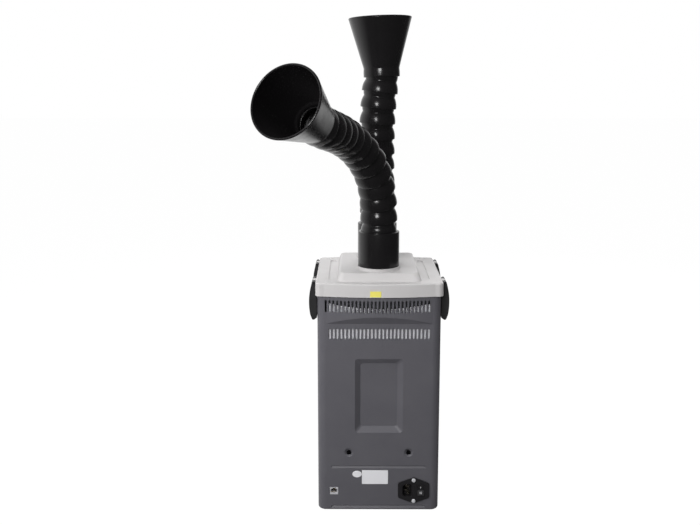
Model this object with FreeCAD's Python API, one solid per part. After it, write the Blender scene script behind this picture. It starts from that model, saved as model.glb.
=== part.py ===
import FreeCAD, Part
import math
import os

V = FreeCAD.Vector
X_AXIS = V(1, 0, 0)
Y_AXIS = V(0, 1, 0)
Z_AXIS = V(0, 0, 1)
REAR = -1
FRONT = 1

# Two-arm fume extractor, in millimetres. The rear with the vents and the mains inlet faces -Y,
# the controls face +Y, and the feet stand on Z = 0 below the middle of the cabinet.

# Cabinet
cabinet_width = 220.0
cabinet_depth = 220.0
cabinet_corner = 15.0
cabinet_bottom_round = 3.0
wall = 3.0
foot_height = 2.0
seam_height = 402.5
floor_rim_height = 6.0
floor_opening_half = 70.0
post_side = 14.0
bow_half_chord = 95.0
bow_rise = 9.0
brow_drop = 48.8
brow_rise = 14.0

# Vents in the rear wall
slot_pitch = 6.75
slot_width = 3.6
upper_slot_count = 28
upper_slot_drop = 5.5
upper_slot_height = 22.0
lower_slot_count = 27
lower_slot_drop = 9.2
lower_slot_height = 19.0

# Pressed panel, grooves and screw dimples in the rear wall
panel_half_width = 43.0
panel_bottom = 151.0
panel_drop = 36.5
panel_bevel = 10.0
panel_depth = 7.0
panel_corner = 5.0
groove_half_length = 86.0
groove_step = 1.6
groove_depth = 2.0
groove_slope = 3.4
groove_end = 3.0
groove_levels = (86.3, 9.5)
dimple_offset = 54.0
dimple_level = 113.0
dimple_radius = 8.2
dimple_floor_radius = 4.3
dimple_depth = 2.6
boss_radius = 9.0

# Base plate and feet
base_plate_half = 88.0
base_plate_corner = 8.0
base_plate_thickness = 2.0
foot_radius = 9.0
foot_offset = 74.0
foot_stem_radius = 3.0
base_screw_offset = 80.0

# Screws
screw_radius = 2.0
screw_head_radius = 4.0
screw_head_height = 2.0
rear_screw_length = 10.0
base_screw_length = 5.5

# Lid
lid_overhang = 3.0
lid_corner = 9.0
lid_edge_round = 2.5
lid_rim_height = 24.0
lid_ledge_height = 3.0
lid_bow_half_chord = 98.0
gasket_thickness = 1.5
plateau_height = 14.0
plateau_half_width = 75.0
plateau_half_length = 104.0
plateau_side_slope = 4.5
plateau_end_slope = 11.0
plateau_corner = 12.0
plateau_edge_round = 4.0
trough_offset = 85.0
trough_width = 11.0
trough_length = 165.0
trough_depth = 1.5
mark_radius = 2.0
mark_depth = 1.2
mark_length_offset = 100.0
mark_side_offset = 91.5
mark_spacing = 9.0

# Hose ports in the lid
port_offset = 48.0
collar_height = 5.0
collar_wall = 3.8
collar_lip = 1.6
port_depth = 18.0
port_seat_width = 4.4
port_seat_height = 3.0
seal_height = 4.0
seal_depth = 2.0
seal_level = 6.0

# Latches, hinged on the lid and caught on the cabinet
latch_offset = 76.0
latch_width = 40.0
latch_pivot_out = 3.6
latch_pivot_drop = 4.0
latch_barrel_radius = 3.2
latch_crown_out = 14.6
latch_crown_drop = 31.0
latch_foot_out = 12.6
latch_foot_drop = 62.0
latch_tip_out = 8.5
latch_tip_drop = 72.5
latch_tip_round = 3.0
latch_toe_drop = 67.0
latch_wall_gap = 1.0
latch_lid_gap = 0.6
latch_pin_radius = 1.25
latch_lug_radius = 2.8
latch_lug_width = 14.0
keeper_height = 6.0
keeper_out = 3.0
keeper_width = 30.0
keeper_drop = 18.0

# Ball-and-socket arms
segment_pitch = 28.6
ball_radius = 30.3
arm_bore = 25.0
skirt_wall = 3.0
skirt_drop = 2.0
shoulder_radius = 32.9
shoulder_height = 8.6
waist_drop = 9.3
ball_lip = 2.0
sleeve_radius = 37.4
sleeve_wall = 3.2
sleeve_top = 510.0
sleeve_chamfer = 1.2
neck_radius = 31.9
ball_rise = 22.0
funnel_length = 106.0
funnel_mouth_radius = 58.0
funnel_wall = 2.6
funnel_neck_height = 14.0
funnel_lip_height = 3.0

# Rest pose of each arm from its first segment to its funnel:
# lean to the left seen from the rear, and lean towards the rear, in degrees, chosen by hand
near_pose = [(2, 8), (7, 16), (14, 24), (23, 30), (32, 36), (40, 44),
             (48, 52), (53, 61), (58, 67), (60, 69), (58, 65), (49, 56)]
far_pose = [(1, 0), (1, 2), (1, 4), (0, 6), (0, 7), (-1, 6), (-3, 4), (-5, 2), (-7, 0), (2, 0)]

# Air path inside the cabinet
fan_plate_height = 118.0
fan_plate_thickness = 2.0
fan_plate_flange = 14.0
chamber_wall = 1.2
chamber_half_width = 104.0
chamber_rear = 88.0
chamber_front = 98.0
chamber_drop = 6.5
chamber_headroom = 44.0
filter_gap = 3.0
particle_filter_height = 100.0
particle_frame_width = 8.0
pleat_count = 18
pleat_thickness = 1.6
pleat_inset = 4.0
prefilter_height = 16.0
fleece_left = -89.0
fleece_right = 94.5
fleece_margin = 7.5
fleece_rise = 14.5
fleece_sag = 10.0
fleece_thickness = 6.0
eye_radius = 45.0
housing_radius = 82.0
housing_height = 52.0
housing_wall = 2.0
duct_half_width = 47.0
impeller_radius = 62.0
impeller_height = 38.0
impeller_plate = 2.0
impeller_lift = 8.0
blade_count = 11
blade_inner_radius = 30.0
blade_angle = 38.0
hub_radius = 14.0
shaft_radius = 4.0
shaft_length = 36.0
motor_radius = 32.0
motor_height = 42.0
motor_flange_radius = 38.0
motor_flange_height = 4.0
motor_terminal_width = 20.0
motor_terminal_out = 10.0

# Mains inlet with its rocker switch, and the interface socket
inlet_x = 64.0
inlet_level = 41.0
inlet_flange_width = 57.0
inlet_flange_height = 50.0
inlet_flange_side = 28.0
inlet_flange_thickness = 2.4
inlet_body_width = 47.0
inlet_body_height = 27.6
inlet_body_depth = 28.0
inlet_screw_spacing = 40.0
cavity_offset = 12.0
cavity_width = 16.4
cavity_height = 24.4
cavity_depth = 16.0
cavity_corner = 4.5
contact_spacing = 14.0
contact_set_back = 4.0
contact_width = 4.0
contact_thickness = 2.0
contact_length = 15.0
rocker_offset = 13.0
rocker_width = 11.0
rocker_height = 19.0
rocker_depth = 9.0
rocker_rise = 1.6
rocker_rest_angle = 9.0
rocker_axle_radius = 1.5
rocker_axle_length = 1.5
rocker_pivot_depth = 4.0
socket_x = -80.9
socket_level = 39.2
socket_width = 14.8
socket_height = 13.4
socket_depth = 18.0
socket_opening_width = 11.8
socket_opening_height = 6.8
socket_opening_depth = 12.0
socket_flange = 2.0
socket_flange_thickness = 1.0

# Labels
label_thickness = 0.4
rating_left = -30.1
rating_right = 17.3
rating_bottom = 52.5
rating_top = 79.0
sticker_x = -39.0
sticker_level = 71.7
sticker_half_width = 8.5
sticker_half_height = 6.2
lid_label_left = -16.6
lid_label_right = 2.8
lid_label_lift = 1.0
lid_label_height = 10.5

# Front control panel
control_drop = 53.7
control_half_width = 52.0
control_half_height = 32.0
control_corner = 6.0
control_thickness = 3.5
control_cut_margin = 6.0
window_x = -20.0
window_half_width = 20.0
window_half_height = 13.0
window_rebate = 3.0
window_thickness = 1.4
key_positions = (14.0, 35.0)
key_radius = 6.0
key_rise = 2.0
key_flange = 1.5
key_flange_thickness = 2.0
key_travel = 1.2
board_thickness = 1.6
board_half_width = 44.0
board_half_height = 22.0
board_set_back = 7.4
board_post_radius = 2.5
tact_radius = 2.5

# Power supply on the cabinet floor
supply_left = -102.0
supply_right = -58.0
supply_rear = -30.0
supply_front = 70.0
supply_standoff = 6.0
supply_standoff_radius = 3.0
transformer_size = 30.0
capacitor_radius = 8.0
capacitor_height = 24.0
terminal_height = 10.0
terminal_depth = 9.0
lead_radius = 2.2
lead_rise_x = -83.0
lead_inlet_run = 24.0
lead_sweep_x = 30.0
lead_sweep_y = 34.0
lead_supply_run = 22.0
lead_motor_run = 7.0
lead_board_turn = 10.0
lead_rise_start = 25.0
lead_panel_run = 20.0

# Clearances
face_clearance = 0.3
running_clearance = 0.05
seat_clearance = 0.5

# Places that follow from the sizes above
half_width = cabinet_width / 2
half_depth = cabinet_depth / 2
inner_width = half_width - wall
inner_depth = half_depth - wall
floor_top = foot_height + floor_rim_height
brow_height = seam_height - brow_drop
upper_slot_top = seam_height - upper_slot_drop
upper_slot_bottom = upper_slot_top - upper_slot_height
lower_slot_top = brow_height - lower_slot_drop
lower_slot_bottom = lower_slot_top - lower_slot_height
panel_top = lower_slot_bottom - panel_drop
control_level = brow_height - control_drop
lid_bottom = seam_height + gasket_thickness
lid_top = lid_bottom + lid_rim_height
lid_half_width = half_width + lid_overhang
lid_half_depth = half_depth + lid_overhang
plateau_top = lid_top + plateau_height
collar_top = plateau_top + collar_height
port_radius = sleeve_radius + face_clearance
port_seat = plateau_top - port_depth
ball_level = sleeve_top + ball_rise
skirt_radius = ball_radius + face_clearance + skirt_wall
socket_radius = ball_radius + face_clearance
lip_radius = arm_bore + ball_lip
lip_rise = math.sqrt(ball_radius ** 2 - lip_radius ** 2)
socket_rise = math.sqrt(socket_radius ** 2 - arm_bore ** 2)
rim_inner_radius = math.sqrt(socket_radius ** 2 - skirt_drop ** 2)
latch_pivot_x = lid_half_width + latch_pivot_out
latch_pivot_z = lid_top - latch_pivot_drop
keeper_top = lid_bottom - keeper_drop
chamber_middle = (chamber_front - chamber_rear) / 2
filter_half_width = chamber_half_width - chamber_wall - filter_gap
filter_half_length = (chamber_front + chamber_rear) / 2 - chamber_wall - filter_gap
fan_deck = fan_plate_height + fan_plate_thickness
chamber_top = seam_height - chamber_drop
prefilter_bottom = chamber_top - chamber_headroom - prefilter_height
particle_bottom = prefilter_bottom - particle_filter_height
housing_bottom = fan_plate_height - housing_height
duct_end = inner_depth - wall - fan_plate_thickness - seat_clearance
impeller_bottom = housing_bottom + impeller_lift
inlet_back = inner_depth - inlet_body_depth
rocker_x = inlet_x + rocker_offset
rocker_pivot_y = half_depth + inlet_flange_thickness - rocker_pivot_depth
cavity_x = inlet_x - cavity_offset
board_front = half_depth - board_set_back
board_level = floor_top + supply_standoff
board_top = board_level + board_thickness


def box(x0, x1, y0, y1, z0, z1):
    return Part.makeBox(x1 - x0, y1 - y0, z1 - z0, V(x0, y0, z0))


def rounded_box(half_x, half_y, corner, z0, z1, middle_y=0.0):
    solid = box(-half_x, half_x, middle_y - half_y, middle_y + half_y, z0, z1)
    upright = [e for e in solid.Edges if abs(e.tangentAt(e.FirstParameter).z) > 0.9]
    return solid.makeFillet(corner, upright)


def edges_at_height(solid, z):
    return [e for e in solid.Edges if abs(e.BoundBox.ZMin - z) < 0.01 and abs(e.BoundBox.ZMax - z) < 0.01]


def rounded_rectangle(half_x, half_z, corner, y, middle_x=0.0, middle_z=0.0):
    # closed wire in a plane of constant Y, anticlockwise from the lower right corner
    arcs = []
    for turn in range(4):
        side = turn * 90.0
        corner_x = half_x - corner if turn in (0, 3) else corner - half_x
        corner_z = half_z - corner if turn in (0, 1) else corner - half_z
        centre = V(middle_x + corner_x, y, middle_z + corner_z)
        points = []
        for step in (0.0, 45.0, 90.0):
            angle = math.radians(side + step)
            points.append(centre + V(corner * math.cos(angle), 0, corner * math.sin(angle)))
        arcs.append(points)
    edges = []
    for turn in range(4):
        edges.append(Part.Arc(*arcs[turn]).toShape())
        edges.append(Part.makeLine(arcs[turn][2], arcs[(turn + 1) % 4][0]))
    return Part.Wire(edges)


def rounded_plate(half_x, half_z, corner, y0, y1, middle_x=0.0, middle_z=0.0):
    outline = rounded_rectangle(half_x, half_z, corner, y0, middle_x, middle_z)
    return Part.Face(outline).extrude(V(0, y1 - y0, 0))


def polygon_prism(points, along):
    return Part.Face(Part.makePolygon(points + [points[0]])).extrude(along)


def revolved(edges):
    return Part.Face(Part.Wire(edges)).revolve(V(0, 0, 0), Z_AXIS, 360)


def arc(a, b, c):
    return Part.Arc(V(a[0], 0, a[1]), V(b[0], 0, b[1]), V(c[0], 0, c[1])).toShape()


def line(a, b):
    return Part.makeLine(V(a[0], 0, a[1]), V(b[0], 0, b[1]))


def on_sphere(radius, centre_z, height):
    # point of a sphere's outline at a height above its centre
    return (math.sqrt(radius ** 2 - height ** 2), centre_z + height)


def placed(solid, at, along):
    solid = solid.copy()
    solid.Placement = FreeCAD.Placement(at, FreeCAD.Rotation(Z_AXIS, along))
    return solid


def bow(side, half_chord, rise, face, z0, z1):
    # stretch of wall bowed out of the flat face at that distance from the middle
    left = V(-half_chord, side * face, z0)
    right = V(half_chord, side * face, z0)
    crown = V(0, side * (face + rise), z0)
    right_root = V(half_chord, side * (face - wall), z0)
    left_root = V(-half_chord, side * (face - wall), z0)
    edges = [
        Part.Arc(left, crown, right).toShape(),
        Part.makeLine(right, right_root),
        Part.makeLine(right_root, left_root),
        Part.makeLine(left_root, left),
    ]
    return Part.Face(Part.Wire(edges)).extrude(V(0, 0, z1 - z0))


def brow(side, face, z1):
    # bowed band below the seam, with its lower edge sloped back to the flat wall
    band = bow(side, bow_half_chord, bow_rise, face, brow_height, z1)
    outside = 2 * bow_rise
    slope = [
        V(-half_width, side * face, brow_height),
        V(-half_width, side * (face + outside), brow_height + outside * brow_rise / bow_rise),
        V(-half_width, side * (face + outside), brow_height - brow_rise),
        V(-half_width, side * face, brow_height - brow_rise),
    ]
    return band.cut(polygon_prism(slope, V(cabinet_width, 0, 0)))


def slot(x, z0, z1):
    half = slot_width / 2
    y = -half_depth - 2 * bow_rise
    low = z0 + half
    high = z1 - half
    edges = [
        Part.makeLine(V(x - half, y, high), V(x - half, y, low)),
        Part.Arc(V(x - half, y, low), V(x, y, z0), V(x + half, y, low)).toShape(),
        Part.makeLine(V(x + half, y, low), V(x + half, y, high)),
        Part.Arc(V(x + half, y, high), V(x, y, z1), V(x - half, y, high)).toShape(),
    ]
    return Part.Face(Part.Wire(edges)).extrude(V(0, 2 * bow_rise + 2 * wall, 0))


def slot_row(count, z0, z1):
    # both rows end at the same place on the right
    first = slot_pitch * (lower_slot_count - 1) / 2 - slot_pitch * (count - 1)
    return [slot(first + slot_pitch * i, z0, z1) for i in range(count)]


def pressed_panel(grow, y0, y1):
    half_x = panel_half_width + grow
    half_z = (panel_top - panel_bottom) / 2 + grow
    middle = (panel_top + panel_bottom) / 2
    mouth = rounded_rectangle(half_x, half_z, panel_corner, y0, 0, middle)
    floor = rounded_rectangle(half_x - panel_bevel, half_z - panel_bevel, panel_corner, y1, 0, middle)
    return Part.makeLoft([mouth, floor], True, True)


def groove(level):
    # line pressed into the rear wall: stepped in at its upper edge, sloping out again below
    y = -half_depth
    profile = [(y - 1, level + groove_step), (y + groove_depth, level + groove_step),
               (y + groove_depth, level)]
    profile += [(y, level - groove_slope), (y - 1, level - groove_slope)]
    reach = groove_half_length
    cut = polygon_prism([V(-reach, a, b) for a, b in profile], V(2 * reach, 0, 0))
    for side in (-1, 1):
        end = [V(side * reach, y - 1, 0), V(side * reach, y, 0),
               V(side * (reach - groove_end), y + groove_depth, 0)]
        end.append(V(side * reach, y + groove_depth, 0))
        wedge = polygon_prism([p + V(0, 0, level - 2 * groove_slope) for p in end],
                              V(0, 0, 4 * groove_slope))
        cut = cut.cut(wedge)
    return cut


def rear_screw_places():
    return [(side * dimple_offset, dimple_level) for side in (-1, 1)]


def base_screw_places():
    return [(base_screw_offset, 0), (-base_screw_offset, 0), (0, base_screw_offset),
            (0, -base_screw_offset)]


def foot_places():
    corners = [(x * foot_offset, y * foot_offset) for x in (-1, 1) for y in (-1, 1)]
    return corners + [(0, 0)]


def latch_places():
    return [(side, end * latch_offset) for end in (REAR, FRONT) for side in (-1, 1)]


def inlet_screw_levels():
    return [inlet_level + end * inlet_screw_spacing / 2 for end in (-1, 1)]


def port_places():
    return [REAR * port_offset, FRONT * port_offset]


def cabinet_shell():
    outer = rounded_box(half_width, half_depth, cabinet_corner, foot_height, seam_height)
    outer = outer.makeFillet(cabinet_bottom_round, edges_at_height(outer, foot_height))
    cavity = rounded_box(inner_width, inner_depth, cabinet_corner - wall, floor_top, seam_height + wall)
    for side in (REAR, FRONT):
        outer = outer.fuse(brow(side, half_depth, seam_height))
        cavity = cavity.fuse(brow(side, inner_depth, seam_height + wall))
    shell = outer.removeSplitter().cut(cavity)
    added = [pressed_panel(0, -inner_depth - 1, -inner_depth + panel_depth)]
    for x in (-1, 1):
        for y in (-1, 1):
            post = box(0, post_side, 0, post_side, floor_top - 1, fan_plate_height)
            post.translate(V(inner_width - post_side, inner_depth - post_side, 0))
            post = post.mirror(V(0, 0, 0), X_AXIS) if x < 0 else post
            post = post.mirror(V(0, 0, 0), Y_AXIS) if y < 0 else post
            added.append(post.common(outer))
    for x, z in rear_screw_places():
        added.append(Part.makeCylinder(boss_radius, wall + 1, V(x, -inner_depth - 1, z), Y_AXIS))
    for side, y in latch_places():
        keeper = box(half_width - 1, half_width + keeper_out, y - keeper_width / 2, y + keeper_width / 2,
                     keeper_top - keeper_height, keeper_top)
        added.append(keeper.mirror(V(0, 0, 0), X_AXIS) if side < 0 else keeper)
    shell = shell.fuse(added)
    removed = [pressed_panel(0, -half_depth, -half_depth + panel_depth)]
    removed += slot_row(upper_slot_count, upper_slot_bottom, upper_slot_top)
    removed += slot_row(lower_slot_count, lower_slot_bottom, lower_slot_top)
    removed += [groove(level) for level in groove_levels]
    for x, z in rear_screw_places():
        removed.append(Part.makeCone(dimple_radius, dimple_floor_radius, dimple_depth, V(x, -half_depth, z),
                                     Y_AXIS))
        removed.append(Part.makeCylinder(screw_radius + running_clearance, 4 * wall, V(x, -half_depth, z),
                                         Y_AXIS))
    recess_half = base_plate_half + seat_clearance
    removed.append(rounded_box(recess_half, recess_half, base_plate_corner, 0,
                               foot_height + base_plate_thickness))
    removed.append(rounded_box(floor_opening_half, floor_opening_half, base_plate_corner, 0, floor_top + 1))
    for x, y in base_screw_places():
        removed.append(Part.makeCylinder(screw_radius + running_clearance, floor_top, V(x, y, 0)))
    half_x = inlet_body_width / 2 + face_clearance
    half_z = inlet_body_height / 2 + face_clearance
    removed.append(box(inlet_x - half_x, inlet_x + half_x, -half_depth - 1, -inner_depth + 1,
                       inlet_level - half_z, inlet_level + half_z))
    for z in inlet_screw_levels():
        removed.append(Part.makeCylinder(screw_radius + running_clearance, 4 * wall,
                                         V(inlet_x, -half_depth - 1, z), Y_AXIS))
    half_x = socket_width / 2 + face_clearance
    half_z = socket_height / 2 + face_clearance
    removed.append(box(socket_x - half_x, socket_x + half_x, -half_depth - 1, -inner_depth + 1,
                       socket_level - half_z, socket_level + half_z))
    removed.append(rounded_plate(control_half_width - control_cut_margin,
                                 control_half_height - control_cut_margin,
                                 control_corner, inner_depth - 1, half_depth + 1, 0, control_level))
    return shell.cut(removed).removeSplitter()


def base_plate():
    top = foot_height + base_plate_thickness
    plate = rounded_box(base_plate_half, base_plate_half, base_plate_corner, foot_height, top)
    holes = []
    for x, y in foot_places():
        holes.append(Part.makeCylinder(foot_stem_radius + face_clearance / 2, top, V(x, y, 0)))
    for x, y in base_screw_places():
        holes.append(Part.makeCylinder(screw_radius + running_clearance, top, V(x, y, 0)))
        holes.append(Part.makeCylinder(screw_head_radius + running_clearance,
                                       foot_height + screw_head_height / 2, V(x, y, 0)))
    return plate.cut(holes)


def rubber_feet():
    feet = []
    for x, y in foot_places():
        pad = Part.makeCylinder(foot_radius, foot_height, V(x, y, 0))
        pad = pad.makeFillet(foot_height / 2, edges_at_height(pad, 0))
        feet.append(pad.fuse(Part.makeCylinder(foot_stem_radius, base_plate_thickness + 1,
                                               V(x, y, foot_height - 1))))
    return Part.makeCompound(feet)


def case_screws():
    screws = []
    for x, z in rear_screw_places():
        seat = -half_depth + dimple_depth
        head = Part.makeCylinder(screw_head_radius, screw_head_height, V(x, seat - screw_head_height, z),
                                 Y_AXIS)
        slot_cut = box(x - screw_head_radius, x + screw_head_radius, seat - 2 * screw_head_height,
                       seat - screw_head_height / 2, z - screw_head_height / 4, z + screw_head_height / 4)
        cross_cut = slot_cut.copy()
        cross_cut.rotate(V(x, seat, z), Y_AXIS, 90)
        shank = Part.makeCylinder(screw_radius, rear_screw_length, V(x, seat - screw_head_height / 2, z),
                                  Y_AXIS)
        screws.append(head.cut([slot_cut, cross_cut]).fuse(shank))
    for x, y in base_screw_places():
        head = Part.makeCylinder(screw_head_radius, screw_head_height / 2, V(x, y, foot_height))
        shank = Part.makeCylinder(screw_radius, base_screw_length, V(x, y, foot_height))
        screws.append(head.fuse(shank))
    return Part.makeCompound(screws)


def lid_outline(inset, z0, z1):
    corner = lid_corner - inset
    solid = rounded_box(lid_half_width - inset, lid_half_depth - inset, corner, z0, z1)
    for side in (REAR, FRONT):
        solid = solid.fuse(bow(side, lid_bow_half_chord, bow_rise, lid_half_depth - inset, z0, z1))
    return solid.removeSplitter()


def rounded_top(solid, z, radius):
    return solid.makeFillet(radius, edges_at_height(solid, z))


def plateau(inset, z0, z1):
    low = rounded_box(plateau_half_width - inset, plateau_half_length - inset, plateau_corner, z0, z0 + 1)
    high = rounded_box(plateau_half_width - plateau_side_slope - inset,
                       plateau_half_length - plateau_end_slope - inset,
                       plateau_corner, z1 - 1, z1)
    base = [w for f in low.Faces if abs(f.CenterOfMass.z - z0) < 0.01 for w in f.Wires][0]
    top = [w for f in high.Faces if abs(f.CenterOfMass.z - z1) < 0.01 for w in f.Wires][0]
    return Part.makeLoft([base, top], True, True)


def trough(side):
    half = trough_width / 2
    solid = rounded_box(half, trough_length / 2, half - 0.1, lid_top - trough_depth, lid_top + 1)
    solid.translate(V(side * trough_offset, 0, 0))
    return solid


def lid_marks():
    marks = []
    for side in (-1, 1):
        for offset in (-mark_spacing / 2, mark_spacing / 2):
            x = side * mark_side_offset + offset
            marks.append(Part.makeCylinder(mark_radius, mark_depth + 1,
                                           V(x, mark_length_offset, lid_top - mark_depth)))
    return marks


def latch_hinge(side, y):
    # lug on the lid's edge that carries the middle of the latch pin
    lug = latch_lug_width / 2
    root = lid_half_width - 1
    arm_piece = box(root, latch_pivot_x, y - lug, y + lug, latch_pivot_z - latch_lug_radius,
                    latch_pivot_z + latch_lug_radius)
    eye = Part.makeCylinder(latch_lug_radius, latch_lug_width, V(latch_pivot_x, y - lug, latch_pivot_z),
                            Y_AXIS)
    bore = Part.makeCylinder(latch_pin_radius + running_clearance, latch_lug_width,
                             V(latch_pivot_x, y - lug, latch_pivot_z), Y_AXIS)
    hinge = arm_piece.fuse(eye).removeSplitter().cut(bore)
    return hinge.mirror(V(0, 0, 0), X_AXIS) if side < 0 else hinge


def lid():
    solid = rounded_top(lid_outline(0, lid_bottom, lid_top), lid_top, lid_edge_round)
    solid = solid.fuse(rounded_top(plateau(0, lid_top, plateau_top), plateau_top, plateau_edge_round))
    ports = []
    for y in port_places():
        bottom = port_seat - port_seat_height
        ports.append(Part.makeCylinder(port_radius + collar_wall, plateau_top - wall / 2 - bottom,
                                       V(0, y, bottom)))
        ports.append(Part.makeCylinder(port_radius + collar_lip, collar_top - bottom, V(0, y, bottom)))
    inside = lid_outline(lid_overhang + wall, lid_bottom - 1, lid_bottom + lid_ledge_height)
    inside = inside.fuse([lid_outline(wall, lid_bottom + lid_ledge_height, lid_top - wall),
                          plateau(wall, lid_top - wall - 0.5, plateau_top - wall)])
    solid = solid.cut(inside).fuse(ports)
    removed = []
    for y in port_places():
        bottom = port_seat - port_seat_height - 1
        removed.append(Part.makeCylinder(port_radius, collar_top, V(0, y, port_seat)))
        removed.append(Part.makeCylinder(sleeve_radius - port_seat_width, collar_top, V(0, y, bottom)))
        removed.append(seal_space(y, face_clearance / 2))
    removed += [trough(side) for side in (-1, 1)]
    removed += lid_marks()
    solid = solid.cut(removed)
    solid = solid.fuse([latch_hinge(side, y) for side, y in latch_places()])
    return solid.removeSplitter()


def seal_space(y, grow):
    level = port_seat + seal_level
    ring = Part.makeCylinder(port_radius + seal_depth + grow, seal_height + 2 * grow, V(0, y, level - grow))
    return ring.cut(Part.makeCylinder(port_radius, seal_height * 3, V(0, y, level - seal_height)))


def lid_seals():
    outer = rounded_box(half_width - seat_clearance, half_depth - seat_clearance, cabinet_corner,
                        seam_height, lid_bottom)
    inner = rounded_box(inner_width, inner_depth, cabinet_corner - wall, seam_height - 1, lid_bottom + 1)
    for side in (REAR, FRONT):
        outer = outer.fuse(bow(side, bow_half_chord, bow_rise, half_depth - seat_clearance, seam_height,
                               lid_bottom))
        inner = inner.fuse(bow(side, bow_half_chord, bow_rise, inner_depth, seam_height - 1,
                               lid_bottom + 1))
    gasket = outer.removeSplitter().cut(inner.removeSplitter())
    return Part.makeCompound([gasket] + [seal_space(y, 0) for y in port_places()])


def latch(side, y):
    wall_x = half_width + latch_wall_gap
    lid_x = lid_half_width + latch_lid_gap
    crown = (lid_half_width - lid_overhang + latch_crown_out, lid_top - latch_crown_drop)
    foot = (lid_half_width - lid_overhang + latch_foot_out, lid_top - latch_foot_drop)
    tip = (lid_half_width - lid_overhang + latch_tip_out, lid_top - latch_tip_drop)
    head = (latch_pivot_x + latch_barrel_radius, latch_pivot_z)
    top = (latch_pivot_x, latch_pivot_z + latch_barrel_radius)
    back = (lid_x, latch_pivot_z)
    step = lid_bottom - latch_wall_gap
    edges = [
        arc(back, (latch_pivot_x - latch_barrel_radius * 0.7, latch_pivot_z + latch_barrel_radius * 0.7),
            top),
        arc(top, (latch_pivot_x + latch_barrel_radius * 0.7, latch_pivot_z + latch_barrel_radius * 0.7),
            head),
        arc(head, crown, foot),
        line(foot, tip),
        line(tip, (wall_x, lid_top - latch_toe_drop)),
        line((wall_x, lid_top - latch_toe_drop), (wall_x, step)),
        line((wall_x, step), (lid_x, step)),
        line((lid_x, step), back),
    ]
    leaf = Part.Face(Part.Wire(edges)).extrude(V(0, latch_width, 0))
    leaf = leaf.makeFillet(latch_tip_round, [e for e in leaf.Edges if e.BoundBox.ZMax < tip[1] + 0.01])
    leaf.translate(V(0, y - latch_width / 2, 0))
    half_pocket = keeper_width / 2 + 2 * seat_clearance
    pocket = box(half_width, half_width + keeper_out + 2 * seat_clearance, y - half_pocket, y + half_pocket,
                 keeper_top - keeper_height - seat_clearance, lid_bottom)
    bore = Part.makeCylinder(latch_pin_radius + running_clearance, 2 * latch_width,
                             V(latch_pivot_x, y - latch_width, latch_pivot_z), Y_AXIS)
    half_notch = latch_lug_width / 2 + face_clearance
    notch = box(half_width, half_width + 2 * latch_crown_out, y - half_notch, y + half_notch,
                latch_pivot_z - latch_lug_radius - 2 * seat_clearance, lid_top)
    leaf = leaf.cut([pocket, bore, notch])
    return leaf.mirror(V(0, 0, 0), X_AXIS) if side < 0 else leaf


def latch_pins():
    length = latch_width - 2 * seat_clearance
    pins = []
    for side, y in latch_places():
        pins.append(Part.makeCylinder(latch_pin_radius, length,
                                      V(side * latch_pivot_x, y - length / 2, latch_pivot_z), Y_AXIS))
    return Part.makeCompound(pins)


def ball_outline(centre_z):
    # outer face of a ball from its waist to its lip, then across the lip to the bore
    waist = on_sphere(ball_radius, centre_z, -waist_drop)
    lip = on_sphere(ball_radius, centre_z, lip_rise)
    mouth = (arm_bore, lip[1])
    return waist, mouth, [arc(waist, (ball_radius, centre_z), lip), line(lip, mouth)]


def socket_outline():
    # inner face of a socket from the bore down to the skirt's rim
    bore = on_sphere(socket_radius, 0, socket_rise)
    rim = (rim_inner_radius, -skirt_drop)
    middle = on_sphere(socket_radius, 0, socket_rise / 2)
    return bore, rim, arc(bore, middle, rim)


def segment():
    waist, mouth, ball = ball_outline(segment_pitch)
    bore, rim, socket = socket_outline()
    skirt = (skirt_radius, -skirt_drop)
    shoulder = (shoulder_radius, shoulder_height)
    edges = [line(rim, skirt), arc(skirt, shoulder, waist)] + ball + [line(mouth, bore), socket]
    return revolved(edges)


def funnel():
    bore, rim, socket = socket_outline()
    skirt = (skirt_radius, -skirt_drop)
    neck = (shoulder_radius + face_clearance, funnel_neck_height)
    lip_outer = (funnel_mouth_radius, funnel_length - funnel_lip_height)
    lip_top = (funnel_mouth_radius - funnel_wall / 2, funnel_length)
    lip_inner = (funnel_mouth_radius - funnel_wall, funnel_length - funnel_lip_height)
    throat = (neck[0] - funnel_wall, funnel_neck_height + socket_rise / 2)
    swell = ((skirt[0] + neck[0]) / 2 + face_clearance, (neck[1] + skirt[1]) / 2)
    edges = [
        line(rim, skirt),
        arc(skirt, swell, neck),
        line(neck, lip_outer),
        arc(lip_outer, lip_top, lip_inner),
        line(lip_inner, throat),
        line(throat, bore),
        socket,
    ]
    return revolved(edges)


def sleeve(y):
    waist, mouth, ball = ball_outline(ball_level)
    inside = sleeve_radius - sleeve_wall
    throat_bottom = sleeve_top - sleeve_wall
    throat_top = waist[1]
    bulge = ((neck_radius + waist[0]) / 2 + sleeve_chamfer, (sleeve_top + waist[1]) / 2)
    shoulder = (neck_radius, sleeve_top)
    rim = (sleeve_radius - sleeve_chamfer, sleeve_top)
    edge = (sleeve_radius, sleeve_top - sleeve_chamfer)
    edges = [
        line((inside, port_seat), (sleeve_radius, port_seat)),
        line((sleeve_radius, port_seat), edge),
        line(edge, rim),
        line(rim, shoulder),
        arc(shoulder, bulge, waist),
    ]
    edges += ball
    edges += [
        line(mouth, (arm_bore, throat_top)),
        line((arm_bore, throat_top), (inside, throat_bottom)),
        line((inside, throat_bottom), (inside, port_seat)),
    ]
    return placed(revolved(edges), V(0, y, 0), Z_AXIS)


def arm_frames(y, pose):
    # ball centre and direction of each segment, and of the funnel at the end
    at = V(0, y, ball_level)
    frames = []
    for lean, toward in pose:
        a = math.radians(lean)
        b = math.radians(toward)
        along = V(-math.sin(a) * math.cos(b), -math.sin(b), math.cos(a) * math.cos(b))
        frames.append((at, along))
        at = at + along * segment_pitch
    return frames


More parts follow.
